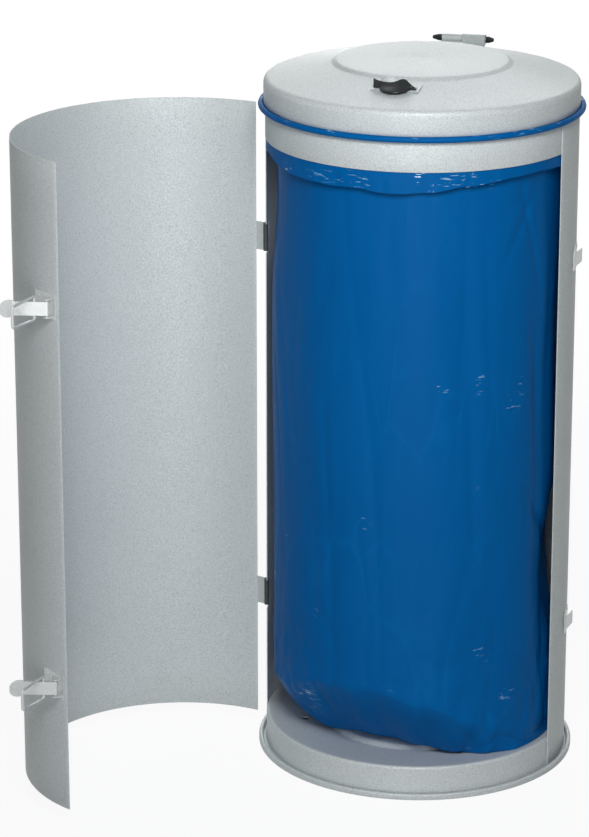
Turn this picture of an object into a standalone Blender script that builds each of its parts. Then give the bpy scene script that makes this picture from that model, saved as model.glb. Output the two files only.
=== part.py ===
"""Round steel waste bin: cabinet with a side door on two hinges, toggle latches, sack ring, sack, hinged lid."""

import math

import bmesh
import bpy
from mathutils import Matrix, Vector

for found in list(bpy.data.objects):
    bpy.data.objects.remove(found, do_unlink=True)

# Azimuths are in degrees from the front, -Y, and grow towards +X. Lengths are in metres.
MM = 0.001
FACETS = 40
STEP = 360 / FACETS
CLEAR = 0.3 * MM
FILM = 0.6 * MM
RUNNING = 0.08 * MM

BODY_R = 0.2150
SHELL_T = 1.2 * MM
SHELL_TOP = 0.9300
TRAY_T = 1.5 * MM
SHELL_Z0 = TRAY_T + CLEAR
OPENING_LEFT = -80.9
OPENING_RIGHT = 74.6

COLLAR_BOTTOM = SHELL_TOP - 40.4 * MM
COLLAR_R = BODY_R - SHELL_T - CLEAR

RING_SKIRT_R = COLLAR_R - SHELL_T - FILM - 2 * CLEAR
RING_T = 1.2 * MM
RING_SKIRT_Z = SHELL_TOP - 32 * MM
RING_UNDER_Z = SHELL_TOP + FILM + 2 * CLEAR
BEAD_R = 3.6 * MM
BEAD_AT_R = BODY_R + 4.1 * MM
BEAD_Z = RING_UNDER_Z + BEAD_R

DOOR_R0 = BODY_R + 0.6 * MM
DOOR_T = 1.0 * MM
DOOR_R1 = DOOR_R0 + DOOR_T
DOOR_Z0 = 0.0220
DOOR_Z1 = SHELL_TOP - 4 * MM
DOOR_HINGE_EDGE = -80.2
DOOR_FREE_EDGE = 87.4
DOOR_OPEN = 113.8
PIN_AZIMUTH = -84.3
PIN_AT_R = BODY_R + 1.5 * MM

HINGE_Z = {"upper": 0.7365, "lower": 0.2100}
HINGE_H = 40 * MM
KNUCKLES = {"upper": (13.2, 34.8), "lower": (16.3, 36.5)}
KNUCKLE_R = 3.5 * MM
HINGE_PIN_R = 1.5 * MM
LEAF_T = 1.2 * MM

LATCH_Z = {"upper": 0.7310, "lower": 0.2000}
PIVOT_AZIMUTH = 84.0
PIVOT_AT_R = DOOR_R1 + 9 * MM
LEVER_W = 18.6 * MM
LEVER_LIFT = 42.5
BAIL_LIFT = 64.5
BAIL_OFFSET = 16 * MM
BAIL_LENGTH = 52 * MM
WIRE_R = 2.0 * MM
EAR_Z = LEVER_W / 2 + 2.9 * MM
LATCH_H = 2 * EAR_Z + 9.6 * MM

LID_T = 1.0 * MM
LID_R = BODY_R + 0.8 * MM
LID_EDGE_Z = BEAD_Z + math.sqrt((BEAD_R + FILM + CLEAR) ** 2 - (BEAD_AT_R - LID_R) ** 2) + CLEAR
CONE_R1 = LID_R - 7.3 * MM
CONE_Z1 = SHELL_TOP + 43 * MM
CONE_R0 = CONE_R1 - 85 * MM
CONE_Z0 = CONE_Z1 + 18.5 * MM
CONE_SLOPE = math.atan2(CONE_Z0 - CONE_Z1, CONE_R1 - CONE_R0)
LID_HINGE_Y = BODY_R + 15 * MM
LID_HINGE_Z = CONE_Z1 + 5 * MM
LID_PIN_R = 3.0 * MM

RIVET_R = 1.5 * MM
RIVET_HEAD_R = 3.0 * MM


def collection(name, shown):
    made = bpy.data.collections.new(name)
    bpy.context.scene.collection.children.link(made)
    made.hide_render = not shown
    return made


PARTS = collection("waste_bin", True)
CUTTERS = collection("cutters", False)


def material(name, colour, roughness, metallic):
    made = bpy.data.materials.new(name)
    made.use_nodes = True
    shader = made.node_tree.nodes["Principled BSDF"]
    shader.inputs["Base Color"].default_value = (*colour, 1)
    shader.inputs["Roughness"].default_value = roughness
    shader.inputs["Metallic"].default_value = metallic
    return made


STEEL = {"colour": (0.52, 0.54, 0.54), "roughness": 0.45, "metallic": 0.8}
PLATED = {"colour": (0.72, 0.73, 0.72), "roughness": 0.3, "metallic": 0.9}
BLUE_FILM = {"colour": (0.0, 0.09, 0.32), "roughness": 0.3, "metallic": 0.0}
BLACK = {"colour": (0.02, 0.03, 0.03), "roughness": 0.25, "metallic": 0.0}


def part(name, mesh, look):
    """A named piece of the bin with a material of its own."""
    made = bpy.data.objects.new(name, mesh)
    PARTS.objects.link(made)
    made.data.materials.append(material(name, **look))
    return made


def cutter(name, mesh):
    made = bpy.data.objects.new(name, mesh)
    CUTTERS.objects.link(made)
    made.hide_render = True
    made.display_type = "WIRE"
    return made


def boolean(target, tool, operation="DIFFERENCE"):
    made = target.modifiers.new(operation.lower() + "_" + tool.name, "BOOLEAN")
    made.object = tool
    made.operation = operation
    made.solver = "EXACT"


def polar(radius, azimuth):
    turn = math.radians(azimuth)
    return (radius * math.sin(turn), -radius * math.cos(turn))


def chord(radius, azimuth):
    """The radius at which this azimuth meets the flat facets of a turned part."""
    half = math.radians(STEP / 2)
    return radius * math.cos(half) / math.cos(math.radians(azimuth % STEP) - half)


def arc(radius, start, end):
    first = math.floor(start / STEP) + 1
    last = math.ceil(end / STEP) - 1
    turns = [start] + [STEP * k for k in range(first, last + 1)] + [end]
    return [polar(chord(radius, turn), turn) for turn in turns]


def band(inner, outer, start, end):
    return arc(outer, start, end) + arc(inner, start, end)[::-1]


def circle(centre, radius, count=16):
    return [
        (centre[0] + radius * math.cos(2 * math.pi * k / count), centre[1] + radius * math.sin(2 * math.pi * k / count))
        for k in range(count)
    ]


def hull(points):
    """The convex outline round some points."""
    points = sorted(set(points))
    sides = []
    for run in (points, points[::-1]):
        side = []
        for point in run:
            while len(side) > 1 and turn_of(side[-2], side[-1], point) <= 0:
                side.pop()
            side.append(point)
        sides += side[:-1]
    return sides


def turn_of(a, b, c):
    return (b[0] - a[0]) * (c[1] - a[1]) - (b[1] - a[1]) * (c[0] - a[0])


def offset(points, distance):
    """The line moved to its right by a distance, with mitred corners."""
    normals = []
    for a, b in zip(points, points[1:]):
        length = math.hypot(b[0] - a[0], b[1] - a[1])
        normals.append(((b[1] - a[1]) / length, (a[0] - b[0]) / length))
    moved = []
    for k, point in enumerate(points):
        before = normals[max(k - 1, 0)]
        after = normals[min(k, len(normals) - 1)]
        scale = distance / (1 + before[0] * after[0] + before[1] * after[1])
        moved.append((point[0] + scale * (before[0] + after[0]), point[1] + scale * (before[1] + after[1])))
    return moved


def strip(points, thickness):
    return offset(points, -thickness / 2) + offset(points, thickness / 2)[::-1]


AXES = {"X": lambda u, v, w: (w, u, v), "Y": lambda u, v, w: (u, w, v), "Z": lambda u, v, w: (u, v, w)}


def add_prism(shape, outline, low, high, axis="Z"):
    place = AXES[axis]
    ends = [[shape.verts.new(place(u, v, w)) for u, v in outline] for w in (low, high)]
    faces = [shape.faces.new(ends[0]), shape.faces.new(ends[1])]
    for k in range(len(outline)):
        after = (k + 1) % len(outline)
        faces.append(shape.faces.new((ends[0][k], ends[0][after], ends[1][after], ends[1][k])))
    bmesh.ops.recalc_face_normals(shape, faces=faces)


def prisms(name, *solids):
    """A mesh of prisms, each an outline, two ends and an axis."""
    shape = bmesh.new()
    for solid in solids:
        add_prism(shape, *solid)
    mesh = bpy.data.meshes.new(name)
    shape.to_mesh(mesh)
    shape.free()
    return mesh


def profile_mesh(name, points, closed):
    mesh = bpy.data.meshes.new(name)
    edges = [(k, k + 1) for k in range(len(points) - 1)]
    if closed:
        edges.append((len(points) - 1, 0))
    mesh.from_pydata([(radius, 0, height) for radius, height in points], edges, [])
    return mesh


def turned(made, steps=FACETS):
    """Spins the profile at +X round the object's Z axis."""
    spin = made.modifiers.new("turned", "SCREW")
    spin.angle = 2 * math.pi
    spin.steps = steps
    spin.render_steps = steps
    spin.use_merge_vertices = True
    spin.merge_threshold = 0.00001
    spin.use_smooth_shade = False
    return made


def lathe(name, points, look, steps=FACETS):
    on_axis = points[0][0] == 0
    return turned(part(name, profile_mesh(name, points, not on_axis), look), steps)


def sheet(points, thickness):
    """The closed profile of a sheet whose upper and outer face runs through these points."""
    under = offset(points, thickness)
    if points[0][0] == 0:
        under[0] = (0, under[0][1])
    return points + under[::-1]


def swing(name, place, turn, parent=None):
    """An Empty on a joint's axis. Pieces under it are modelled in its own closed frame."""
    made = bpy.data.objects.new(name, None)
    PARTS.objects.link(made)
    made.empty_display_size = 0.03
    made.parent = parent
    made.location = place
    made.rotation_euler = (0, 0, math.radians(turn))
    return made


# The door's joint. Its pieces are modelled closed, in the bin's own frame, and the Empty opens them.
PIN_XY = polar(PIN_AT_R, PIN_AZIMUTH)
door_swing = swing("door_swing", (*PIN_XY, 0), -DOOR_OPEN)


def on_door(made):
    made.parent = door_swing
    made.matrix_parent_inverse = Matrix.Translation((-PIN_XY[0], -PIN_XY[1], 0))
    return made


class Holes:
    """The rivet holes of one piece, cut together."""

    def __init__(self):
        self.bores = []

    def cut(self, target, door):
        shape = bmesh.new()
        for place, axis, radius, depth in self.bores:
            turn = axis.to_track_quat("Z", "Y").to_matrix().to_4x4()
            centre = place - axis * (depth / 2 - 1.5 * MM)
            bmesh.ops.create_cone(
                shape,
                cap_ends=True,
                segments=10,
                radius1=radius,
                radius2=radius,
                depth=depth + 3 * MM,
                matrix=Matrix.Translation(centre) @ turn,
            )
        mesh = bpy.data.meshes.new(target.name + "_holes")
        shape.to_mesh(mesh)
        shape.free()
        tool = cutter(target.name + "_holes", mesh)
        if door:
            on_door(tool)
        boolean(target, tool)


def rivet(name, place, axis, depth, holes, door=False, head=RIVET_HEAD_R, look=None):
    """A domed rivet set flush behind the sheets, and its hole in each of them."""
    rise = 0.15 * MM
    points = [
        (0, rise + 1.1 * MM),
        (head * 0.75, rise + 0.8 * MM),
        (head, rise),
        (RIVET_R, rise),
        (RIVET_R, -depth),
        (0, -depth),
    ]
    made = turned(part(name, profile_mesh(name, points, False), look or PLATED), 10)
    made.location = place
    made.rotation_mode = "QUATERNION"
    made.rotation_quaternion = axis.to_track_quat("Z", "Y")
    if door:
        on_door(made)
    for each in holes:
        each.bores.append((place, axis, RIVET_R + 0.1 * MM, depth + 1 * MM))
    return made


def on_body(radius, azimuth, height):
    """A point on a facet of this radius, and the facet's outward normal."""
    middle = (math.floor(azimuth / STEP) + 0.5) * STEP
    return Vector((*polar(chord(radius, azimuth), azimuth), height)), Vector((*polar(1, middle), 0))


# Base tray: disc, step, floor that rises outwards, shoulder, wall, groove for the body, folded lip.
TRAY_DISC_Z = 0.0385
TRAY_WALL_R = BODY_R - SHELL_T - 0.5 * MM
TRAY_FLOOR = ((TRAY_WALL_R - 86.8 * MM, 0.0330), (TRAY_WALL_R - 6.8 * MM, 0.0450))
GROOVE_R = BODY_R + 3.5 * MM
LIP_R = GROOVE_R + 5.8 * MM
LIP_Z = 0.0085
tray_face = [
    (0, TRAY_DISC_Z),
    (TRAY_FLOOR[0][0] - 9.5 * MM, TRAY_DISC_Z),
    (TRAY_FLOOR[0][0] - 6.0 * MM, TRAY_DISC_Z - 0.7 * MM),
    *TRAY_FLOOR,
    (TRAY_WALL_R - 3.0 * MM, TRAY_FLOOR[1][1] + 0.2 * MM),
    (TRAY_WALL_R - 0.8 * MM, TRAY_FLOOR[1][1] - 1.0 * MM),
    (TRAY_WALL_R, TRAY_FLOOR[1][1] - 3.2 * MM),
    (TRAY_WALL_R, TRAY_T),
    (GROOVE_R, TRAY_T),
    (GROOVE_R, LIP_Z - 1.5 * MM),
    (GROOVE_R + 1.3 * MM, LIP_Z),
    (LIP_R - 1.3 * MM, LIP_Z),
    (LIP_R, LIP_Z - 1.5 * MM),
    (LIP_R, 0.0005),
]
tray = lathe("base_tray", sheet(tray_face, TRAY_T), STEEL)
anchor_mesh = prisms(
    "tray_anchor_holes", *[(circle(polar(TRAY_WALL_R - 55.3 * MM, turn), 5 * MM, 20), 0.02, 0.06, "Z") for turn in (-66.3, 53.7, 173.7)]
)
boolean(tray, cutter("tray_anchor_holes", anchor_mesh))

# Back shell, notched where the hinge knuckles stand through its edge.
shell_outline = band(BODY_R - SHELL_T, BODY_R, OPENING_RIGHT, 360 + OPENING_LEFT)
shell = part("back_shell", prisms("back_shell", (shell_outline, SHELL_Z0, SHELL_TOP, "Z")), STEEL)
NOTCH_AZIMUTH = -85.5
notch = band(BODY_R - 5 * MM, BODY_R + 5 * MM, 360 + NOTCH_AZIMUTH, 364 + OPENING_LEFT)
notch_solids = [(notch, z - HINGE_H / 2 - MM, z + HINGE_H / 2 + MM, "Z") for z in HINGE_Z.values()]
boolean(shell, cutter("shell_notches", prisms("shell_notches", *notch_solids)))
shell_holes = Holes()

# Collar inside the shell's top, which closes the ring over the door opening.
collar_profile = [
    (COLLAR_R - SHELL_T, SHELL_TOP),
    (COLLAR_R, SHELL_TOP),
    (COLLAR_R, COLLAR_BOTTOM),
    (COLLAR_R - SHELL_T, COLLAR_BOTTOM),
]
lathe("top_collar", collar_profile, STEEL)

# Sack ring: skirt, flange and rolled bead.
flange_top = RING_UNDER_Z + RING_T
flank = math.asin((BEAD_Z - flange_top) / BEAD_R)
BEAD_TURNS = [math.radians(turn) for turn in range(-90, 181, 45)]


def round_bead(radius, turns):
    return [(BEAD_AT_R + radius * math.cos(turn), BEAD_Z + radius * math.sin(turn)) for turn in turns]


bead = round_bead(BEAD_R, [math.pi + flank, *BEAD_TURNS[::-1]])
ring_profile = [
    (RING_SKIRT_R - RING_T, flange_top),
    *bead,
    (RING_SKIRT_R, RING_UNDER_Z),
    (RING_SKIRT_R, RING_SKIRT_Z),
    (RING_SKIRT_R - RING_T, RING_SKIRT_Z),
]
lathe("sack_ring", ring_profile, STEEL)

# Sack: from the hem outside the ring's skirt, over the bead, down inside, to where it lies on the tray.
HEM_R = (COLLAR_R - SHELL_T + RING_SKIRT_R) / 2
BAG_TOP_R = RING_SKIRT_R - RING_T - CLEAR - FILM / 2
BAG_R = COLLAR_R - 6.3 * MM
BEAD_FILM_R = BEAD_R + CLEAR + FILM / 2
FOLDS = ((3, 40, 0.30), (5, 130, 0.30), (8, 15, 0.40))
# How far in from the full bag, in millimetres, the film meets the tray, by azimuth: it is narrow and lifted
# at the front left, and full at the right.
FOOT = (
    (-53.5, 68.7),
    (-29, 89.7),
    (-3, 94.2),
    (17.5, 76.2),
    (37.6, 50.2),
    (48, 21.2),
    (59, 5.2),
    (100, 6.2),
    (140, 9.2),
    (180, 17.2),
    (220, 32.2),
    (260, 49.2),
    (306.5, 68.7),
)


def table(rows, at):
    for (a, low), (b, high) in zip(rows, rows[1:]):
        if a <= at <= b:
            share = (at - a) / (b - a)
            share = share * share * (3 - 2 * share)
            return low + (high - low) * share
    return rows[-1][1]


def foot_radius(azimuth):
    return BAG_R - table(FOOT, (azimuth + 53.5) % 360 - 53.5) * MM


def film_floor(radius):
    """The height at which the film's middle lies on the tray."""
    slope = (TRAY_FLOOR[1][1] - TRAY_FLOOR[0][1]) / (TRAY_FLOOR[1][0] - TRAY_FLOOR[0][0])
    rise = TRAY_FLOOR[0][1] + slope * (radius - TRAY_FLOOR[0][0])
    return max(TRAY_DISC_Z, rise) + CLEAR + FILM / 2 + 0.2 * MM


def fold(azimuth, height):
    """How far the film hangs in from the full bag, as soft vertical folds that deepen downwards."""
    depth = 6.5 * MM * min(max((RING_SKIRT_Z - height) / 0.25, 0), 1) ** 0.7
    wave = 0
    for count, phase, share in FOLDS:
        lean = 25 * (height - 0.5)
        wave += share * (0.5 + 0.5 * math.cos(math.radians(count * azimuth + phase + lean)))
    return depth * wave


def bag_radius(azimuth, height):
    blend = min(max((RING_SKIRT_Z - height) / 0.06, 0), 1)
    return BAG_TOP_R + (BAG_R - BAG_TOP_R) * blend - fold(azimuth, height)


def hem_bottom(azimuth):
    turn = math.radians(azimuth)
    return COLLAR_BOTTOM - 27.1 * MM + 3 * MM * math.sin(5 * turn + 1) + 2 * MM * math.sin(11 * turn)


def sack_column(azimuth):
    flange_film = flange_top + CLEAR + FILM / 2
    flank_film = math.asin((BEAD_Z - flange_film) / BEAD_FILM_R)
    column = [(HEM_R, hem_bottom(azimuth)), (HEM_R, BEAD_Z - BEAD_FILM_R)]
    column += round_bead(BEAD_FILM_R, [*BEAD_TURNS, math.pi + flank_film])
    column += [(BAG_TOP_R, flange_film), (BAG_TOP_R, RING_SKIRT_Z)]
    column += [(bag_radius(azimuth, z), z) for z in (0.86, 0.79, 0.69, 0.57, 0.44, 0.31)]
    foot = foot_radius(azimuth)
    floor = film_floor(foot)
    bend = floor + 0.9 * (BAG_R - foot) + 0.015
    column += [(bag_radius(azimuth, z), z) for z in (0.5 * bend + 0.5 * 0.25, bend)]
    wall = bag_radius(azimuth, bend)
    for k in range(1, 4):
        turn = k * math.pi / 6
        column.append((foot + (wall - foot) * math.cos(turn) ** 0.8, floor + (bend - floor) * (1 - math.sin(turn))))
    column[-1] = (foot, floor)
    column += [(foot * share, film_floor(foot * share)) for share in (0.5,)]
    return column


sack_mesh = bpy.data.meshes.new("sack")
columns = [sack_column(STEP * k) for k in range(FACETS)]
height_count = len(columns[0])
sack_points = [(*polar(radius, STEP * k), height) for k, column in enumerate(columns) for radius, height in column]
sack_points.append((0, 0, film_floor(0)))
sack_faces = []
for k in range(FACETS):
    here = k * height_count
    there = (k + 1) % FACETS * height_count
    for row in range(height_count - 1):
        sack_faces.append((here + row + 1, here + row, there + row, there + row + 1))
    sack_faces.append((here + height_count - 1, there + height_count - 1, len(sack_points) - 1))
sack_mesh.from_pydata(sack_points, [], sack_faces)
sack = part("sack", sack_mesh, BLUE_FILM)
film = sack.modifiers.new("film", "SOLIDIFY")
film.thickness = FILM
film.offset = 0

# Side hinges. The shell's leaf carries the end knuckles and the pin, the door's leaf the middle one.
door_holes = Holes()
for side, z in HINGE_Z.items():
    low = z - HINGE_H / 2
    high = z + HINGE_H / 2
    cut_low, cut_high = (low + share * MM for share in KNUCKLES[side])
    gap = 0.25 * MM
    shell_spans = ((low, cut_low - gap), (cut_high + gap, high))
    door_spans = ((cut_low + gap, cut_high - gap),)
    pin_outline = circle(PIN_XY, HINGE_PIN_R)
    part(
        "hinge_pin_" + side, prisms("hinge_pin", (pin_outline, low - 0.8 * MM, high + 0.8 * MM, "Z")), PLATED
    )
    kinds = (
        ("shell", BODY_R + CLEAR, (-92.0, -85.4), (-85.9, -84.8), shell_spans, -89.2),
        ("door", DOOR_R1 + CLEAR, (-83.2, -73.6), (-83.9, -82.8), door_spans, -77.2),
    )
    for kind, inner, plate, neck, spans, rivet_at in kinds:
        name = "hinge_" + kind + "_leaf_" + side
        outer = inner + LEAF_T
        plate_outline = band(inner, outer, 360 + plate[0], 360 + plate[1])
        leaf = part(name, prisms(name, (plate_outline, low, high, "Z")), STEEL)
        neck_outline = band(inner + 0.05 * MM, outer - 0.05 * MM, 360 + neck[0], 360 + neck[1])
        necks = cutter(name + "_necks", prisms(name, *[(neck_outline, *span, "Z") for span in spans]))
        knuckle_outline = circle(PIN_XY, KNUCKLE_R)
        knuckles = cutter(name + "_knuckles", prisms(name, *[(knuckle_outline, *span, "Z") for span in spans]))
        bore_outline = circle(PIN_XY, HINGE_PIN_R + RUNNING)
        bore = cutter(name + "_bore", prisms(name, (bore_outline, low - MM, high + MM, "Z")))
        boolean(leaf, necks, "UNION")
        boolean(leaf, knuckles, "UNION")
        boolean(leaf, bore)
        on_the_door = kind == "door"
        if on_the_door:
            for each in (leaf, necks, knuckles, bore):
                on_door(each)
        leaf_holes = Holes()
        sheet_holes = door_holes if on_the_door else shell_holes
        behind = DOOR_R0 if on_the_door else BODY_R - SHELL_T
        for end, dz in (("top", 12 * MM), ("bottom", -12 * MM)):
            place, axis = on_body(outer, rivet_at, z + dz)
            rivet(name + "_rivet_" + end, place, axis, outer - behind, (leaf_holes, sheet_holes), on_the_door)
        leaf_holes.cut(leaf, on_the_door)

# Door panel.
door_outline = band(DOOR_R0, DOOR_R1, DOOR_HINGE_EDGE, DOOR_FREE_EDGE)
door = on_door(part("door_panel", prisms("door_panel", (door_outline, DOOR_Z0, DOOR_Z1, "Z")), STEEL))

# Catches on the shell: a base plate, folded back at the door side into a ramp that the bail hooks behind.
CATCH_R0 = BODY_R + CLEAR
CATCH_R1 = CATCH_R0 + LEAF_T
ramp_line = [
    polar(CATCH_R0 + 0.6 * MM, 90.9),
    polar(CATCH_R0 + 0.6 * MM, 90.0),
    polar(CATCH_R0 + 1.8 * MM, 89.4),
    polar(CATCH_R0 + 3.1 * MM, 90.0),
    polar(CATCH_R0 + 7.6 * MM, 96.8),
]
# The slant that cuts the base plate's upper corner at the door side, along the shell and up.
slant = [(-2 * MM, 8.5 * MM), (8.5 * MM, 19 * MM), (-2 * MM, 19 * MM)]
for side, z in LATCH_Z.items():
    name = "catch_" + side
    base_outline = band(CATCH_R0, CATCH_R1, 89.5, 97.2)
    catch = part(name, prisms(name, (base_outline, z - LATCH_H / 2, z + LATCH_H / 2, "Z")), PLATED)
    ramp = cutter(
        name + "_ramp", prisms(name, (strip(ramp_line, 1.0 * MM), z - 10 * MM, z + 9 * MM, "Z"))
    )
    boolean(catch, ramp, "UNION")
    chamfer = cutter(name + "_chamfer", prisms(name, (slant, -0.01, 0.01, "Y")))
    chamfer.location = (*polar(BODY_R, 89.4), z)
    chamfer.rotation_euler = (0, 0, math.radians(89.4))
    boolean(catch, chamfer)
    catch_holes = Holes()
    for end, dz in (("top", 13.2 * MM), ("bottom", -13.5 * MM)):
        place, axis = on_body(CATCH_R1, 95.2, z + dz)
        rivet(name + "_rivet_" + end, place, axis, CATCH_R1 - BODY_R + SHELL_T, (catch_holes, shell_holes))
    catch_holes.cut(catch, False)

# Toggle latches on the door.
PIVOT_XY = polar(PIVOT_AT_R, PIVOT_AZIMUTH)
LATCH_R0 = DOOR_R1 + CLEAR
LATCH_R1 = LATCH_R0 + LEAF_T
LATCH_PIN_R = 2.0 * MM
TIP_BEND = math.radians(22)
lever_line = [(0, 2.9 * MM), (44.5 * MM, 2.9 * MM)]
lever_line.append((lever_line[1][0] + 17.5 * MM * math.cos(TIP_BEND), lever_line[1][1] + 17.5 * MM * math.sin(TIP_BEND)))
PADDLE_R = LEVER_W / 2 + 2.7 * MM
paddle = [
    (49.5 * MM + PADDLE_R * math.cos(math.radians(turn)), PADDLE_R * math.sin(math.radians(turn)))
    for turn in range(-100, 101, 20)
]
lever_plan = [(-5 * MM, -LEVER_W / 2), (40 * MM, -LEVER_W / 2), *paddle, (40 * MM, LEVER_W / 2), (-5 * MM, LEVER_W / 2)]
cheek = [
    (6.5 * MM, 2.9 * MM),
    (8 * MM, -3.2 * MM),
    (24 * MM, -3.2 * MM),
    (36 * MM, 0.4 * MM),
    (39.5 * MM, 2.9 * MM),
]
leg_z = EAR_Z + 3.5 * MM
bar_z = leg_z - 1.3 * MM
bend_r = 3.5 * MM
bail_half = [(0, LEVER_W / 2 - 2.5 * MM), (0, leg_z - 2.5 * MM), (0.7 * MM, leg_z - 0.7 * MM), (2.5 * MM, leg_z)]
for k in range(5):
    turn = math.pi / 2 - k * math.pi / 8
    bail_half.append(
        (BAIL_LENGTH - bend_r + bend_r * math.cos(turn), bar_z - bend_r + bend_r * math.sin(turn))
    )
bail_points = [(x, 0, z) for x, z in bail_half] + [(x, 0, -z) for x, z in bail_half[::-1]]


def wire(name, points, radius, look):
    """A bent wire as a mesh."""
    path = bpy.data.curves.new(name, "CURVE")
    path.dimensions = "3D"
    path.bevel_depth = radius
    path.bevel_resolution = 2
    path.use_fill_caps = True
    line = path.splines.new("POLY")
    line.points.add(len(points) - 1)
    for point, place in zip(line.points, points):
        point.co = (*place, 1)
    return part(name, path, look)


for side, z in LATCH_Z.items():
    low = z - LATCH_H / 2
    high = z + LATCH_H / 2
    name = "latch_base_" + side
    base_outline = band(LATCH_R0, LATCH_R1, 74.5, 85.6)
    base = on_door(part(name, prisms(name, (base_outline, low, high, "Z")), PLATED))
    ear = hull([polar(LATCH_R0 + 0.6 * MM, 80.4), polar(LATCH_R0 + 0.6 * MM, 85.4), *circle(PIVOT_XY, 5 * MM)])
    ears = [(ear, z + dz - 0.6 * MM, z + dz + 0.6 * MM, "Z") for dz in (-EAR_Z, EAR_Z)]
    boolean(base, on_door(cutter(name + "_ears", prisms(name, *ears))), "UNION")
    ear_bore = (circle(PIVOT_XY, LATCH_PIN_R + RUNNING), low - MM, high + MM, "Z")
    boolean(base, on_door(cutter(name + "_bore", prisms(name, ear_bore))))
    base_holes = Holes()
    for end, dz in (("top", 10.5 * MM), ("bottom", -10.5 * MM)):
        place, axis = on_body(LATCH_R1, 77.2, z + dz)
        rivet(name + "_rivet_" + end, place, axis, LATCH_R1 - DOOR_R0, (base_holes, door_holes), True)
    base_holes.cut(base, True)

    pin_solid = (circle(PIVOT_XY, LATCH_PIN_R), z - EAR_Z - 0.9 * MM, z + EAR_Z + 0.9 * MM, "Z")
    on_door(part("latch_pin_" + side, prisms("latch_pin", pin_solid), PLATED))

    # The lever points along its own X axis, with Y away from the door.
    lever_swing = swing("latch_lever_swing_" + side, (*PIVOT_XY, z), PIVOT_AZIMUTH - 180 + LEVER_LIFT)
    on_door(lever_swing)
    name = "latch_lever_" + side
    lever = part(name, prisms(name, (strip(lever_line, 1.2 * MM), -PADDLE_R - MM, PADDLE_R + MM, "Z")), PLATED)
    plan = cutter(name + "_plan", prisms(name, (lever_plan, -0.02, 0.03, "Y")))
    cheek_z = (LEVER_W / 2 - 1.25 * MM, LEVER_W / 2 - 0.05 * MM)
    cheeks = cutter(
        name + "_cheeks",
        prisms(name, (cheek, cheek_z[0], cheek_z[1], "Z"), (cheek, -cheek_z[1], -cheek_z[0], "Z")),
    )
    barrel = cutter(name + "_barrel", prisms(name, (circle((0, 0), 3.4 * MM), -LEVER_W / 2 - 0.1 * MM, LEVER_W / 2 + 0.1 * MM, "Z")))
    bores = cutter(
        name + "_bores",
        prisms(
            name,
            (circle((0, 0), LATCH_PIN_R + RUNNING), -0.02, 0.02, "Z"),
            (circle((BAIL_OFFSET, 0), WIRE_R + 2 * RUNNING), -0.02, 0.02, "Z"),
        ),
    )
    for each in (lever, plan, cheeks, barrel, bores):
        each.parent = lever_swing
    boolean(lever, plan, "INTERSECT")
    boolean(lever, cheeks, "UNION")
    boolean(lever, barrel, "UNION")
    boolean(lever, bores)

    bail_swing = swing("latch_bail_swing_" + side, (BAIL_OFFSET, 0, 0), BAIL_LIFT, lever_swing)
    bail = wire("latch_bail_" + side, bail_points, WIRE_R, PLATED)
    bail.parent = bail_swing

# Lid: a shallow cone with a raised disc, a rounded rim and a short skirt that stands on the bead.
DISC_R = CONE_R0 - 6.5 * MM
lid_face = [
    (0, CONE_Z0 + 6.5 * MM),
    (DISC_R - 7 * MM, CONE_Z0 + 5.2 * MM),
    (DISC_R, CONE_Z0 + 4.7 * MM),
    (DISC_R + 3.5 * MM, CONE_Z0 + 2.3 * MM),
    (CONE_R0, CONE_Z0),
    (CONE_R1, CONE_Z1),
    (LID_R - 3.3 * MM, CONE_Z1 - 1.6 * MM),
    (LID_R - 1.0 * MM, CONE_Z1 - 4.2 * MM),
    (LID_R, CONE_Z1 - 8.0 * MM),
    (LID_R, LID_EDGE_Z),
]
lid = lathe("lid", sheet(lid_face, LID_T), STEEL)

# Grip at the lid's front, on a slim plate. Its own frame lies on the cone, Y up the slope.
GRIP_R = CONE_R0 + 26.5 * MM
GRIP_BASE_Z = 1.6 * MM
cone_z = CONE_Z0 - (GRIP_R - CONE_R0) * math.tan(CONE_SLOPE)
grip_frame = Matrix.Translation((0, -GRIP_R, cone_z)) @ Matrix.Rotation(CONE_SLOPE, 4, "X")
PLATE_X, PLATE_FRONT, PLATE_BACK = 33 * MM, -7.5 * MM, 20 * MM
plate_outline = [(-PLATE_X, PLATE_FRONT), (PLATE_X, PLATE_FRONT), (PLATE_X, PLATE_BACK), (-PLATE_X, PLATE_BACK)]
plate = part("lid_grip_plate", prisms("lid_grip_plate", (plate_outline, 0.3 * MM, 1.3 * MM, "Z")), STEEL)
plate.matrix_world = grip_frame
# The plate is pressed up behind the grip's dip, as a hood over the fingers.
hood_shape = bmesh.new()
bmesh.ops.create_uvsphere(hood_shape, u_segments=24, v_segments=12, radius=1)
below = [vert for vert in hood_shape.verts if vert.co.z < -0.1]
bmesh.ops.delete(hood_shape, geom=below, context="VERTS")
for vert in hood_shape.verts:
    if vert.co.z < 0.1:
        vert.co.z = 0
    vert.co = Vector((16 * MM * vert.co.x - 9 * MM, 8.4 * MM * vert.co.y + 11.5 * MM, 12.2 * MM * vert.co.z + 0.8 * MM))
bmesh.ops.holes_fill(hood_shape, edges=[edge for edge in hood_shape.edges if edge.is_boundary], sides=0)
bmesh.ops.recalc_face_normals(hood_shape, faces=hood_shape.faces[:])
hood_mesh = bpy.data.meshes.new("plate_hood")
hood_shape.to_mesh(hood_mesh)
hood_shape.free()
hood = cutter("plate_hood", hood_mesh)
hood.matrix_world = grip_frame
boolean(plate, hood, "UNION")
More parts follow.
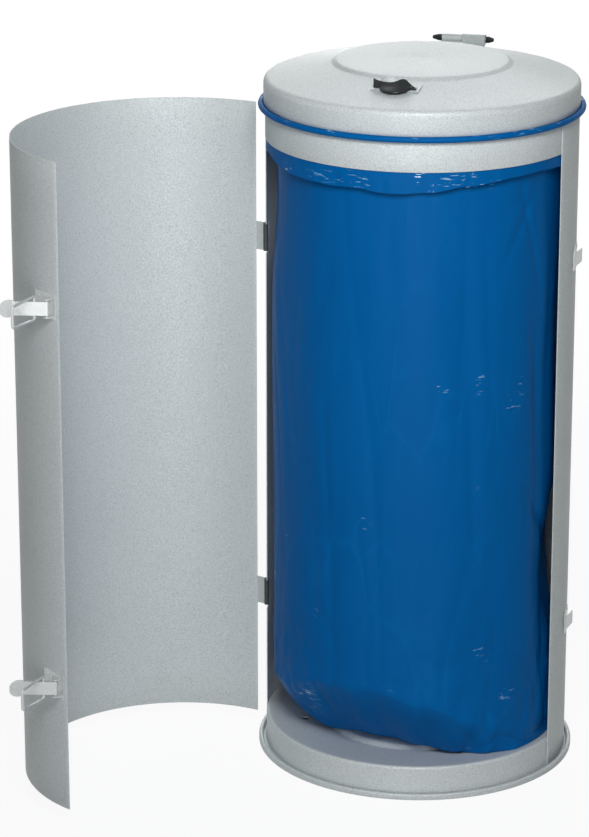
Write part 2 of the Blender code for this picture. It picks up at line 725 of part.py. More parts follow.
# The crest's height along the grip, from its left end to its right tip, and how far the nose stands out.
CREST = (
    (-29, 12.5),
    (-26, 11.0),
    (-21, 9.3),
    (-15, 8.2),
    (-8, 7.8),
    (-2, 8.6),
    (3, 10.6),
    (7, 12.6),
    (11, 13.6),
    (15, 12.6),
    (19, 8.8),
    (23, 5.0),
    (26, 2.8),
    (29, 1.6),
)
grip_shape = bmesh.new()
sections = []
for x, crest in CREST:
    nose = 20.5 * math.sqrt(max(1 - (x / 21) ** 2, 0)) if abs(x) < 21 else 0
    depth = max(nose, 3.2)
    lip = 1.8 if nose < 4 else 3.4
    outline = [
        (2.4, 0),
        (2.4, crest * 0.8),
        (1.4, crest),
        (0.2, crest),
        (-0.35 * depth, 0.45 * crest + 0.55 * lip),
        (-0.75 * depth, 0.12 * crest + 0.95 * lip),
        (-depth + 0.6, lip),
        (-depth, lip * 0.55),
        (-depth + 0.5, 0),
    ]
    sections.append([grip_shape.verts.new((x * MM, y * MM, GRIP_BASE_Z + z * MM)) for y, z in outline])
for a, b in zip(sections, sections[1:]):
    for k in range(len(a)):
        after = (k + 1) % len(a)
        grip_shape.faces.new((a[k], a[after], b[after], b[k]))
for end in (sections[0], sections[-1]):
    grip_shape.faces.new(end)
bmesh.ops.recalc_face_normals(grip_shape, faces=grip_shape.faces[:])
grip_mesh = bpy.data.meshes.new("lid_grip")
grip_shape.to_mesh(grip_mesh)
grip_shape.free()
grip = part("lid_grip", grip_mesh, BLACK)
grip.matrix_world = grip_frame

# Two screws from below hold the grip and its plate.
screw_bores = []
for hand, x in (("left", -11 * MM), ("right", 11 * MM)):
    points = [
        (0, 6.0 * MM),
        (RIVET_R, 6.0 * MM),
        (RIVET_R, -1.7 * MM),
        (RIVET_HEAD_R, -1.7 * MM),
        (RIVET_HEAD_R * 0.8, -3.0 * MM),
        (0, -3.2 * MM),
    ]
    screw = turned(part("grip_screw_" + hand, profile_mesh("grip_screw", points, False), PLATED), 12)
    screw.matrix_world = grip_frame @ Matrix.Translation((x, -5 * MM, 0))
    screw_bores.append((circle((x, -5 * MM), RIVET_R + 0.1 * MM, 12), -0.006, 6.3 * MM, "Z"))
screw_cutter = cutter("grip_screw_bores", prisms("grip_screw_bores", *screw_bores))
screw_cutter.matrix_world = grip_frame
for target in (plate, grip, lid):
    boolean(target, screw_cutter)

# Lid hinge at the back: a strap with a knuckle on the lid, a bracket with a knuckle on the shell.
STRAP_X = (-0.026, 0.002)
STRAP_RIVET_R = CONE_R1 - 16.5 * MM
BRACKET_X = (0.003, 0.036)
strap_z = CONE_Z0 + 0.9 * MM / math.cos(CONE_SLOPE)
strap_line = [(radius, strap_z - (radius - CONE_R0) * math.tan(CONE_SLOPE)) for radius in (CONE_R1 - 25.5 * MM, CONE_R1 + 0.5 * MM)]
strap_line.append((LID_HINGE_Y - 2.5 * MM, LID_HINGE_Z - 2.7 * MM))
AXIS_YZ = (LID_HINGE_Y, LID_HINGE_Z)
strap = part("lid_hinge_strap", prisms("lid_hinge_strap", (strip(strap_line, 1.2 * MM), *STRAP_X, "X")), STEEL)
strap_eye_x = (STRAP_X[0] - 0.05 * MM, STRAP_X[1] + 0.05 * MM)
strap_barrel = cutter("lid_strap_barrel", prisms("strap_barrel", (circle(AXIS_YZ, 5.6 * MM), *strap_eye_x, "X")))
boolean(strap, strap_barrel, "UNION")
strap_bore = cutter(
    "lid_strap_bore", prisms("strap_bore", (circle(AXIS_YZ, LID_PIN_R + RUNNING), -0.03, 0.01, "X"))
)
boolean(strap, strap_bore)
strap_holes = Holes()
lid_holes = Holes()
back_normal = Vector((0, math.sin(CONE_SLOPE), math.cos(CONE_SLOPE)))
for hand, x in (("left", -0.0195), ("right", -0.0060)):
    height = strap_z - (STRAP_RIVET_R - CONE_R0) * math.tan(CONE_SLOPE) + 0.6 * MM / math.cos(CONE_SLOPE)
    place = Vector((x, STRAP_RIVET_R, height))
    rivet("lid_strap_rivet_" + hand, place, back_normal, 2.5 * MM, (strap_holes, lid_holes), head=2.8 * MM)
strap_holes.cut(strap, False)
lid_holes.cut(lid, False)

BRACKET_SHELF = SHELL_TOP - 16.8 * MM
bracket_ends = [180 - math.degrees(math.asin(x / BODY_R)) for x in (BRACKET_X[0] - 1.5 * MM, BRACKET_X[1] + 1.5 * MM)]
bracket_outline = band(BODY_R + CLEAR, BODY_R + CLEAR + LEAF_T, bracket_ends[1], bracket_ends[0])
bracket = part("lid_bracket", prisms("lid_bracket", (bracket_outline, BRACKET_SHELF - 53.2 * MM, BRACKET_SHELF, "Z")), STEEL)
bracket_side = [(BODY_R - 10 * MM, SHELL_TOP - 90 * MM), (BODY_R + 10 * MM, SHELL_TOP - 90 * MM), (BODY_R + 10 * MM, SHELL_TOP), (BODY_R - 10 * MM, SHELL_TOP)]
boolean(bracket, cutter("bracket_trim", prisms("bracket_trim", (bracket_side, *BRACKET_X, "X"))), "INTERSECT")
# The plate folds out into a shelf and up into a wall, which ends in an eye with a flat front.
wall_y = BODY_R + 9.5 * MM + LEAF_T / 2
shelf_z = BRACKET_SHELF - LEAF_T / 2 - 0.05 * MM
fold_line = [(BODY_R + CLEAR + LEAF_T / 2, shelf_z), (wall_y, shelf_z), (wall_y, LID_HINGE_Z)]
inset_x = (BRACKET_X[0] + 0.05 * MM, BRACKET_X[1] - 0.05 * MM)
boolean(bracket, cutter("bracket_fold", prisms("bracket_fold", (strip(fold_line, LEAF_T), *inset_x, "X"))), "UNION")
EYE_R = 7 * MM
eye_front = LID_HINGE_Y - EYE_R - 0.2 * MM
eye = hull([(eye_front, LID_HINGE_Z + 7.6 * MM), (eye_front, LID_HINGE_Z - 6.4 * MM), *circle(AXIS_YZ, EYE_R, 20)])
eye_x = (BRACKET_X[0] - 0.05 * MM, BRACKET_X[1] + 0.05 * MM)
boolean(bracket, cutter("bracket_eye", prisms("bracket_eye", (eye, *eye_x, "X"))), "UNION")
bracket_bore = (circle(AXIS_YZ, LID_PIN_R + RUNNING), BRACKET_X[0] - 3 * MM, BRACKET_X[1] + 4 * MM, "X")
boolean(bracket, cutter("bracket_bore", prisms("bracket_bore", bracket_bore)))
bracket_holes = Holes()
for end, z in (("top", BRACKET_SHELF - 14.2 * MM), ("bottom", BRACKET_SHELF - 41.2 * MM)):
    place, axis = on_body(BODY_R + CLEAR + LEAF_T, 176.2, z)
    holes = (bracket_holes, shell_holes)
    rivet("lid_bracket_rivet_" + end, place, axis, LEAF_T + CLEAR + SHELL_T, holes)
bracket_holes.cut(bracket, False)

part("lid_hinge_pin", prisms("lid_hinge_pin", (circle(AXIS_YZ, LID_PIN_R), -0.0360, 0.0440, "X")), PLATED)
cap_profile = [
    (0, 14 * MM),
    (2.4 * MM, 13.4 * MM),
    (4.8 * MM, 5 * MM),
    (4.8 * MM, 0),
    (LID_PIN_R + RUNNING, 0),
    (LID_PIN_R + RUNNING, 9.5 * MM),
    (0, 9.5 * MM),
]
for hand, x, turn in (("left", -0.0270, -90), ("right", 0.0370, 90)):
    name = "lid_hinge_cap_" + hand
    scale = 1 if hand == "left" else 0.8
    points = [(radius, height * scale) for radius, height in cap_profile]
    cap = turned(part(name, profile_mesh(name, points, False), BLACK), 16)
    cap.location = (x, LID_HINGE_Y, LID_HINGE_Z)
    cap.rotation_euler = (0, math.radians(turn), 0)

shell_holes.cut(shell, False)
door_holes.cut(door, True)
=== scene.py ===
# %% [markdown]
# # Round steel waste bin with a film sack
# The bin stands with its side door swung wide open, so that the blue sack shows from the ring
# down to the base tray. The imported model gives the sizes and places. This script gives the looks:
# finer skins for the turned sheets, a hung film sack, moulded plastic, materials, floor and light.

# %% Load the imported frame
import math
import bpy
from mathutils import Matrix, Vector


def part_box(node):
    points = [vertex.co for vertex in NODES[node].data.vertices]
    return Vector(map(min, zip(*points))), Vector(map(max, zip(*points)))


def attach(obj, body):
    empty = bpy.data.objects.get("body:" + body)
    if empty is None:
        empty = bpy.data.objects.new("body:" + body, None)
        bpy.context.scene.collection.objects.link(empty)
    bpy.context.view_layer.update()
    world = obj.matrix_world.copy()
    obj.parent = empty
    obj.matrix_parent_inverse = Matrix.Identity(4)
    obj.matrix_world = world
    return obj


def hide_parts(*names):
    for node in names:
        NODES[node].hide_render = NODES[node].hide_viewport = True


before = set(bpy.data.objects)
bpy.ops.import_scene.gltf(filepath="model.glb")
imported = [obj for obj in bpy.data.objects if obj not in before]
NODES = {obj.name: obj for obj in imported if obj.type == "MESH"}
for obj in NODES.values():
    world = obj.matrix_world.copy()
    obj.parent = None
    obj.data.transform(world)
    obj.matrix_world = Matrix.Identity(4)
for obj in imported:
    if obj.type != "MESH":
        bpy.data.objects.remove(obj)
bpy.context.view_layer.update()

# %% [markdown]
# Sizes are read back from the CAD nodes where a box gives them, and named here otherwise.
# Azimuths are in degrees from the front, -Y, and grow towards +X, as in the CAD. The door is
# built shut, like the shell, and then turned open about its hinge pin, so that its radius
# follows the body's.

# %% Sizes shared by several pieces
import bmesh
import bpy
from mathutils import Matrix, Vector, noise

MM = 0.001
BODY_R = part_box("back_shell")[1].y
SHELL_Z = (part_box("back_shell")[0].z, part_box("back_shell")[1].z)
DOOR_Z = (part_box("door_panel")[0].z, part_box("door_panel")[1].z)
COLLAR_Z = (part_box("top_collar")[0].z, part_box("top_collar")[1].z)
SHELL_T = 1.2 * MM
PIN_LOW, PIN_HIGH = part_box("hinge_pin_upper")
PIN = Vector(((PIN_LOW.x + PIN_HIGH.x) / 2, (PIN_LOW.y + PIN_HIGH.y) / 2, 0))
DOOR_OPEN = 113.8
DOOR_SWING = Matrix.Rotation(math.radians(-DOOR_OPEN), 4, "Z")
DOOR_TURN = Matrix.Translation(PIN) @ DOOR_SWING @ Matrix.Translation(-PIN)
print("body radius", round(BODY_R, 4), "shell", SHELL_Z, "door", DOOR_Z)
print("door pin", tuple(round(x, 4) for x in PIN))

# %% [markdown]
# Every skin here is a grid of points: rows along a profile and columns round an axis or along a
# line. One helper turns such a grid into a mesh with smooth faces and sharp edges where the sheet
# really folds. Profile corners are eased first, because pressed steel has no knife edges.


# %% Mesh helpers
def polar(radius, azimuth):
    turn = math.radians(azimuth)
    return radius * math.sin(turn), -radius * math.cos(turn)


def grid(name, rows, wrap=False, sharp=32, skip=()):
    """A mesh from rows of points, closed round its columns where wrap is set."""
    points = [tuple(point) for row in rows for point in row]
    across = len(rows[0])
    faces = []
    for i in range(len(rows) - 1):
        for j in range(across if wrap else across - 1):
            if (i, j) in skip:
                continue
            k = (j + 1) % across
            faces.append((i * across + j, i * across + k, (i + 1) * across + k, (i + 1) * across + j))
    mesh = bpy.data.meshes.new(name)
    mesh.from_pydata(points, [], faces)
    mesh.validate()
    mesh.polygons.foreach_set("use_smooth", [True] * len(mesh.polygons))
    mesh.set_sharp_from_angle(angle=math.radians(sharp))
    made = bpy.data.objects.new(name, mesh)
    bpy.context.scene.collection.objects.link(made)
    return made


def eased(points, radius, steps):
    """The profile with each corner rounded by a short curve."""
    line = [Vector(point) for point in points]
    made = [line[0]]
    for before, corner, after in zip(line, line[1:], line[2:]):
        reach = min(radius, (before - corner).length * 0.45, (after - corner).length * 0.45)
        start = corner + (before - corner).normalized() * reach
        end = corner + (after - corner).normalized() * reach
        for k in range(steps + 1):
            t = k / steps
            made.append(start * (1 - t) ** 2 + corner * 2 * t * (1 - t) + end * t**2)
    return made + [line[-1]]


def turned(name, profile, columns):
    """The profile spun round the Z axis."""
    rows = [[(*polar(r, 360 * k / columns), z) for k in range(columns)] for r, z in profile]
    return grid(name, rows, wrap=True)


def thicken(made, thickness, bevel=0.25 * MM):
    """Gives a skin its sheet thickness, behind the face that shows, and eases the cut edges."""
    solid = made.modifiers.new("sheet thickness", "SOLIDIFY")
    solid.thickness = thickness
    solid.offset = -1
    solid.use_even_offset = True
    ease = made.modifiers.new("eased edge", "BEVEL")
    ease.width = bevel
    ease.segments = 2
    ease.limit_method = "ANGLE"
    ease.angle_limit = math.radians(50)
    return made


def spread(start, end, step):
    """Even values from start to end, no further apart than the step."""
    count = max(1, math.ceil(abs(end - start) / step))
    return [start + (end - start) * k / count for k in range(count + 1)]


def clamp(value):
    return min(max(value, 0), 1)


print("front of a 1 m circle", [round(x, 3) for x in polar(1, 0)])

# %% [markdown]
# ## Materials
# The bin is coated in a fine silver-grey speckle. The speckle, the handling marks and the crinkle
# of the film are shader node groups, so that several materials share them with their own numbers.
# Nodes could be placed one by one; a small helper class that adds and links them keeps each
# material short enough to read.


# %% Node group helpers
def group(name, inputs, outputs):
    """An empty shader node group with named sockets."""
    made = bpy.data.node_groups.new(name, "ShaderNodeTree")
    for label, kind, value in inputs:
        made.interface.new_socket(label, in_out="INPUT", socket_type=kind).default_value = value
    for label, kind in outputs:
        made.interface.new_socket(label, in_out="OUTPUT", socket_type=kind)
    return made


class Wires:
    """Adds nodes to a tree and links them by name."""

    def __init__(self, tree):
        self.tree = tree

    def add(self, kind, settings=None, **inputs):
        node = self.tree.nodes.new(kind)
        for key, value in (settings or {}).items():
            setattr(node, key, value)
        for key, value in inputs.items():
            self.feed(node, key.replace("_", " "), value)
        return node

    def join(self, source, socket):
        self.tree.links.new(source, socket)

    def feed(self, node, key, value):
        """Links a socket, or sets it to a constant."""
        socket = node.inputs[int(key)] if key.isdigit() else node.inputs[key]
        if isinstance(value, bpy.types.NodeSocket):
            self.join(value, socket)
        else:
            socket.default_value = value

    def ends(self):
        """The sockets that a group is given, and those that it gives back."""
        return self.add("NodeGroupInput").outputs, self.add("NodeGroupOutput").inputs

    def math(self, operation, a, b=0.0, clamp=False):
        node = self.add("ShaderNodeMath", {"operation": operation, "use_clamp": clamp})
        self.feed(node, "0", a)
        self.feed(node, "1", b)
        return node.outputs[0]

    def blend(self, factor, a, b):
        node = self.add("ShaderNodeMix", {"data_type": "RGBA"})
        for key, value in (("0", factor), ("6", a), ("7", b)):
            self.feed(node, key, value)
        return node.outputs[2]

    def range(self, value, low, high, to_low=0.0, to_high=1.0):
        node = self.add("ShaderNodeMapRange")
        keys = ("Value", "From Min", "From Max", "To Min", "To Max")
        for key, each in zip(keys, (value, low, high, to_low, to_high)):
            self.feed(node, key, each)
        return node.outputs[0]

    def background_rays(self):
        """1 for rays that see the background: straight, mirrored or through glass."""
        rays = self.add("ShaderNodeLightPath").outputs
        indirect = self.math("MAXIMUM", rays["Is Glossy Ray"], rays["Is Transmission Ray"])
        return self.math("MAXIMUM", rays["Is Camera Ray"], indirect)

    def noise(self, vector, scale, detail=2.0, roughness=0.5):
        inputs = {"Vector": vector, "Scale": scale, "Detail": detail, "Roughness": roughness}
        return self.add("ShaderNodeTexNoise", **inputs).outputs[0]

    def relief(self, shader, height, strength, distance):
        bump = self.add("ShaderNodeBump", Strength=strength, Distance=distance, Height=height)
        self.join(bump.outputs[0], shader.inputs["Normal"])


print("node helpers ready in Blender", bpy.app.version_string)

# %% [markdown]
# Close up, the coating is a mix of pale metal flakes and dark grains, a millimetre or two apart.
# One fine noise gives both: its peaks are the pale grains and its valleys the dark ones. Small
# cells are added to the height, so that the flakes also stand up a little.


# %% Speckle group
speckle = group(
    "speckle",
    [("Grain", "NodeSocketFloat", 900.0)],
    [("Pale", "NodeSocketFloat"), ("Dark", "NodeSocketFloat"), ("Height", "NodeSocketFloat")],
)
w = Wires(speckle)
given, result = w.ends()
place = w.add("ShaderNodeTexCoord").outputs["Object"]
fine = w.noise(place, given["Grain"], 2.0, 0.7)
cells = w.add("ShaderNodeTexVoronoi", {"feature": "F1"}, Vector=place, Scale=given["Grain"])
flakes = w.math("MULTIPLY", cells.outputs["Distance"], 0.5)
w.join(w.range(fine, 0.50, 0.72), result["Pale"])
w.join(w.range(fine, 0.48, 0.26), result["Dark"])
w.join(w.math("ADD", fine, flakes), result["Height"])
print("speckle group", len(speckle.nodes), "nodes")

# %% [markdown]
# A bin that is handled gets faint rubbed streaks, in patches and not everywhere, and its tone
# drifts slowly over a large sheet. The streaks are a noise that is stretched along one leaning
# direction and cut off high. A second, broad noise says where they appear.

# %% Handling marks group
marks = group(
    "handling_marks",
    [("Amount", "NodeSocketFloat", 0.5)],
    [("Scuff", "NodeSocketFloat"), ("Cloud", "NodeSocketFloat")],
)
w = Wires(marks)
given, result = w.ends()
place = w.add("ShaderNodeTexCoord").outputs["Object"]
drawn = w.add("ShaderNodeMapping", Vector=place, Rotation=(0.3, 0.5, 0.9), Scale=(1.0, 1.0, 0.09))
streak = w.range(w.noise(drawn.outputs[0], 230.0, 3.0, 0.65), 0.66, 0.74)
patch = w.range(w.noise(place, 9.0, 2.0, 0.5), 0.52, 0.70)
scuff = w.math("MULTIPLY", w.math("MULTIPLY", streak, patch), given["Amount"], clamp=True)
w.join(scuff, result["Scuff"])
w.join(w.noise(place, 4.5, 3.0, 0.55), result["Cloud"])
print("handling marks group", len(marks.nodes), "nodes")

# %% [markdown]
# Thin film is never smooth: fine creases meet in cells, and here and there a crease catches the
# light as a short bright streak. The creases are the edges of stretched Voronoi cells, bent by a
# noise so that they don't look drawn with a ruler. The glints are a sparse mask of flat streaks,
# denser on the hem, where the film is doubled and pulled round the ring. The film uses the mask
# for a glossy coat and also for a painted highlight in its colour.

# %% Film crinkle group
HEM_FROM = COLLAR_Z[0] - 0.030
crinkle = group(
    "film_crinkle",
    [("Size", "NodeSocketFloat", 26.0)],
    [("Height", "NodeSocketFloat"), ("Cloud", "NodeSocketFloat"), ("Glint", "NodeSocketFloat")],
)
w = Wires(crinkle)
given, result = w.ends()
place = w.add("ShaderNodeTexCoord").outputs["Object"]
pulled = w.add("ShaderNodeMapping", Vector=place, Scale=(1.0, 1.0, 0.35)).outputs[0]
wander = w.add("ShaderNodeTexNoise", Vector=pulled, Scale=7.0, Detail=2.0).outputs["Color"]
bent = w.add("ShaderNodeMix", {"data_type": "VECTOR"})
for key, value in (("0", 0.09), ("4", pulled), ("5", wander)):
    w.feed(bent, key, value)
edges = {"Vector": bent.outputs[1], "Scale": given["Size"]}
creases = w.add("ShaderNodeTexVoronoi", {"feature": "DISTANCE_TO_EDGE"}, **edges)
line = w.range(creases.outputs[0], 0.0, 0.12, 1.0, 0.0)
where = w.range(w.noise(place, 6.0, 2.0, 0.5), 0.45, 0.68)
ripples = w.math("MULTIPLY", w.noise(pulled, 45.0, 3.0, 0.55), 0.8)
w.join(w.math("ADD", w.math("MULTIPLY", line, where), ripples), result["Height"])
sparse = w.range(w.noise(place, 11.0, 2.0, 0.5), 0.645, 0.69)
high = w.range(w.add("ShaderNodeSeparateXYZ", Vector=place).outputs["Z"], HEM_FROM, HEM_FROM + 0.006)
hem = w.math("MULTIPLY", high, w.range(w.noise(place, 13.0, 2.0, 0.5), 0.53, 0.60))
sparse = w.math("MAXIMUM", sparse, hem)
drawn = w.add("ShaderNodeMapping", Vector=place, Rotation=(0.2, 0.6, 0.1), Scale=(0.7, 0.7, 4.0))
streak = w.range(w.noise(drawn.outputs[0], 75.0, 3.0, 0.6), 0.605, 0.66)
w.join(w.math("MULTIPLY", sparse, streak), result["Glint"])
w.join(w.noise(place, 3.5, 2.0, 0.5), result["Cloud"])
print("film crinkle group", len(crinkle.nodes), "nodes")

# %% [markdown]
# The coated sheet is a paint with metal flakes, not bare metal, so it is only slightly metallic
# and its pale grains more so. Fittings have the same coating, finer and a little darker. Latches
# and catches are zinc plated, smoother and brighter. The knuckles of the side hinges get a near
# black coat as painted shade, for the shadow that they stand in.


# %% Coated and plated steel
def material(name, roughness, metallic):
    made = bpy.data.materials.new(name)
    made.use_nodes = True
    shader = made.node_tree.nodes["Principled BSDF"]
    shader.inputs["Roughness"].default_value = roughness
    shader.inputs["Metallic"].default_value = metallic
    return made, shader, Wires(made.node_tree)


def use(w, tree, **inputs):
    """A group node in a material."""
    node = w.tree.nodes.new("ShaderNodeGroup")
    node.node_tree = tree
    for key, value in inputs.items():
        node.inputs[key].default_value = value
    return node.outputs


def shade(tone, share):
    """The tone made darker or paler, as a colour socket takes it."""
    return tuple(min(1, share * c) for c in tone) + (1,)


def speckled(name, tone, roughness, metallic, grain, bump, wear=0.5, gloss=0.12):
    """Silver coating: pale and dark grains, slow cloudiness, a few rubbed streaks."""
    made, shader, w = material(name, roughness, metallic)
    grains = use(w, speckle, Grain=grain)
    worn = use(w, marks, Amount=wear)
    body = w.blend(worn["Cloud"], shade(tone, 0.94), shade(tone, 1.05))
    body = w.blend(w.math("MULTIPLY", grains["Dark"], 0.62), body, shade(tone, 0.55))
    body = w.blend(w.math("MULTIPLY", grains["Pale"], 0.50), body, shade(tone, 1.35))
    body = w.blend(w.math("MULTIPLY", worn["Scuff"], 0.35), body, shade(tone, 1.25))
    w.join(body, shader.inputs["Base Color"])
    drift = w.range(worn["Cloud"], 0.3, 0.7, roughness - 0.05, roughness + 0.05)
    rough = w.math("ADD", drift, w.math("MULTIPLY", grains["Dark"], 0.1))
    rubbed = w.math("MULTIPLY", worn["Scuff"], 0.12)
    w.join(w.math("SUBTRACT", rough, rubbed), shader.inputs["Roughness"])
    w.join(w.range(grains["Pale"], 0, 1, metallic, metallic + 0.3), shader.inputs["Metallic"])
    w.relief(shader, grains["Height"], strength=bump, distance=0.3 * MM)
    shader.inputs["Specular IOR Level"].default_value = gloss
    return made


STEEL = speckled(
    "silver_speckle",
    tone=(0.62, 0.665, 0.672),
    roughness=0.44,
    metallic=0.06,
    grain=640,
    bump=0.30,
)
FITTING = speckled(
    "silver_fitting",
    tone=(0.55, 0.59, 0.59),
    roughness=0.40,
    metallic=0.10,
    grain=1300,
    bump=0.15,
)
PLATED = speckled(
    "zinc_plating",
    tone=(0.60, 0.62, 0.62),
    roughness=0.28,
    metallic=0.35,
    grain=1500,
    bump=0.08,
    wear=0.9,
    gloss=0.5,
)
# Painted shade: the hinge knuckles and pins are coloured near black for the shadow that they stand in.
KNUCKLE_PAINTED_SHADE = speckled(
    "knuckle_painted_shade",
    tone=(0.075, 0.085, 0.085),
    roughness=0.40,
    metallic=0.15,
    grain=1300,
    bump=0.15,
)
print("steel finishes", [m.name for m in (STEEL, FITTING, PLATED, KNUCKLE_PAINTED_SHADE)])

# %% [markdown]
# The grip and the hinge caps are a glossy black plastic. Pure black would hide their form, so the
# tone drifts a little and the rubbed streaks are dark grey.

# %% Black moulding
BLACK, shader, w = material("black_moulding", 0.22, 0.0)
shader.inputs["Specular IOR Level"].default_value = 0.3
grains = use(w, speckle, Grain=700.0)
worn = use(w, marks, Amount=0.8)
tone = w.blend(worn["Cloud"], (0.006, 0.009, 0.010, 1), (0.013, 0.017, 0.018, 1))
tone = w.blend(w.math("MULTIPLY", worn["Scuff"], 0.4), tone, (0.07, 0.08, 0.08, 1))
w.join(tone, shader.inputs["Base Color"])
w.join(w.range(worn["Cloud"], 0.3, 0.7, 0.16, 0.28), shader.inputs["Roughness"])
w.relief(shader, grains["Height"], strength=0.05, distance=0.2 * MM)
print("black moulding", BLACK.name)

# %% [markdown]
# The sack is a strong, even blue. It is made opaque, because its pigment lets little light
# through. Its body is almost matt. Only the glints carry a thin glossy coat, and a paler tint that
# is a painted highlight, so that short streaks shine while the broad folds stay soft.

# %% Blue film
FILM, shader, w = material("blue_film", 0.45, 0.0)
creased = use(w, crinkle, Size=26.0)
tone = w.blend(creased["Cloud"], (0.0, 0.100, 0.325, 1), (0.0, 0.122, 0.395, 1))
# Painted highlight: the raised crease lines of the film are tinted a paler blue.
tone = w.blend(w.range(creased["Height"], 0.5, 1.4, 0.0, 0.22), tone, (0.001, 0.165, 0.480, 1))
# Painted highlight: the glint streaks are tinted pale blue in the colour itself.
tone = w.blend(w.math("MULTIPLY", creased["Glint"], 0.45), tone, (0.30, 0.62, 0.86, 1))
w.join(tone, shader.inputs["Base Color"])
w.join(w.range(creased["Glint"], 0.0, 1.0, 0.50, 0.25), shader.inputs["Roughness"])
w.join(creased["Glint"], shader.inputs["Coat Weight"])
w.relief(shader, creased["Height"], strength=0.30, distance=1.2 * MM)
shader.inputs["Coat Roughness"].default_value = 0.07
shader.inputs["Coat IOR"].default_value = 2.0
shader.inputs["Specular IOR Level"].default_value = 0.06
print("film", FILM.name, "with", len(FILM.node_tree.nodes), "nodes")

# %% [markdown]
# ## Turned and bent sheets
# Each new skin stands for one CAD node: it rides on that node's body, takes a material and hides
# the node. One helper says all of that for a piece.


# %% Dressing a new piece
def dress(made, look, body, slot_name, *nodes):
    """Gives a new piece its material, its body and the CAD nodes that it stands for."""
    made.data.materials.append(look)
    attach(made, body)
    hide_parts(*nodes)


print("nodes to dress or finish", len(NODES))

# %% [markdown]
# The lid is one pressing: a shallow cone with a raised disc, a round shoulder and a short skirt.
# It is a revolve of the CAD's own profile with more columns and eased corners, so that highlights
# run round it smoothly instead of breaking at the CAD's facets.

# %% Lid
LID_T = 1.0 * MM
CONE_TOP = (0.1235, 0.9915)
CONE_FOOT = (0.2085, 0.9730)
LID_FACE = (
    (0.0005, 0.9980),
    (0.1100, 0.9967),
    (0.1170, 0.9962),
    (0.1205, 0.9938),
    CONE_TOP,
    CONE_FOOT,
    (0.2125, 0.9714),
    (0.2148, 0.9688),
    (0.2158, 0.9650),
    (0.2158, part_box("lid")[0].z),
)
ROUND = 192
lid_skin = turned("lid_skin", eased(LID_FACE, 5 * MM, 5)[::-1], ROUND)
dress(thicken(lid_skin, LID_T), STEEL, "lid_assembly", "steel_sheet", "lid")
print("lid_skin", len(lid_skin.data.polygons), "faces")

# %% [markdown]
# The base tray is pressed from one sheet too: a raised disc, a floor that climbs outwards, a
# shoulder and wall that the sack cannot slip past, a groove for the body and a folded lip. It is
# a revolve, like the lid.

# %% Base tray
DISC_Z = 0.0385
FLOOR_LOW = (0.1265, 0.0330)
FLOOR_HIGH = (0.2065, 0.0450)
TRAY_FACE = (
    (0.0005, DISC_Z),
    (0.1170, DISC_Z),
    (0.1205, 0.0378),
    FLOOR_LOW,
    FLOOR_HIGH,
    (0.2103, 0.0452),
    (0.2125, 0.0440),
    (0.2133, 0.0418),
    (0.2133, 0.0015),
    (0.2185, 0.0015),
    (0.2185, 0.0070),
    (0.2198, 0.0085),
    (0.2230, 0.0085),
    (0.2243, 0.0070),
    (0.2243, 0.0005),
)
tray_skin = turned("tray_skin", eased(TRAY_FACE, 2.5 * MM, 4)[::-1], ROUND)
dress(tray_skin, STEEL, "cabinet", "steel_sheet", "base_tray")
print("tray_skin", len(tray_skin.data.polygons), "faces before its holes")

# %% [markdown]
# Three round anchor holes go through the sloping floor. A Boolean would leave long thin faces on
# a smooth sheet. Instead the floor's long faces are divided, the small ones round each hole are
# taken out, and the gap that is left is bridged to a circle.

# %% Anchor holes
ANCHORS = (-66.3, 53.7, 173.7)
ANCHOR_R = 0.158
HOLE_R = 5 * MM
CLEARED_R = 8.5 * MM
RIM_WITHIN = 16 * MM


def axis_distance(vertex):
    return math.hypot(vertex.co.x, vertex.co.y)


def crosses_floor(edge):
    """Whether an edge runs outwards over the sloping floor."""
    near, far = sorted(axis_distance(v) for v in edge.verts)
    return 0.120 < near and far < 0.2075 and far - near > 0.03


def flat_distance(point, centre):
    return (Vector(point[:2]) - centre).length


shape = bmesh.new()
shape.from_mesh(tray_skin.data)
spokes = [e for e in shape.edges if crosses_floor(e)]
bmesh.ops.subdivide_edges(shape, edges=spokes, cuts=15)
for azimuth in ANCHORS:
    centre = Vector(polar(ANCHOR_R, azimuth))
    inside = [f for f in shape.faces if flat_distance(f.calc_center_median(), centre) < CLEARED_R]
    bmesh.ops.delete(shape, geom=inside, context="FACES")
    open_edges = [e for e in shape.edges if e.is_boundary]
    rim = [e for e in open_edges if all(flat_distance(v.co, centre) < RIM_WITHIN for v in e.verts)]
    height = sum(v.co.z for e in rim for v in e.verts) / (2 * len(rim))
    middle = Matrix.Translation((*centre, height))
    hole = bmesh.ops.create_circle(shape, segments=len(rim), radius=HOLE_R, matrix=middle)
    loop = list({e for v in hole["verts"] for e in v.link_edges})
    bmesh.ops.bridge_loops(shape, edges=rim + loop)
bmesh.ops.recalc_face_normals(shape, faces=shape.faces[:])
if sum(f.normal.z * f.calc_area() for f in shape.faces) < 0:
    bmesh.ops.reverse_faces(shape, faces=shape.faces[:])
for face in shape.faces:
    face.smooth = True
shape.to_mesh(tray_skin.data)
shape.free()
tray_skin.data.set_sharp_from_angle(angle=math.radians(40))
TRAY_T = 1.5 * MM
thicken(tray_skin, TRAY_T)
print("tray_skin", len(tray_skin.data.polygons), "faces, anchor holes", len(ANCHORS))

# %% [markdown]
# The back shell is a rolled sheet, open at the front and notched where the hinge knuckles stand
# through its left edge. Its grid has rows at the notches' heights, so that leaving out whole
# faces makes clean notches without a cut. The skin lies 0.2 mm inside the CAD's face, which
# keeps the latch rivets clear of it when the door is shut.

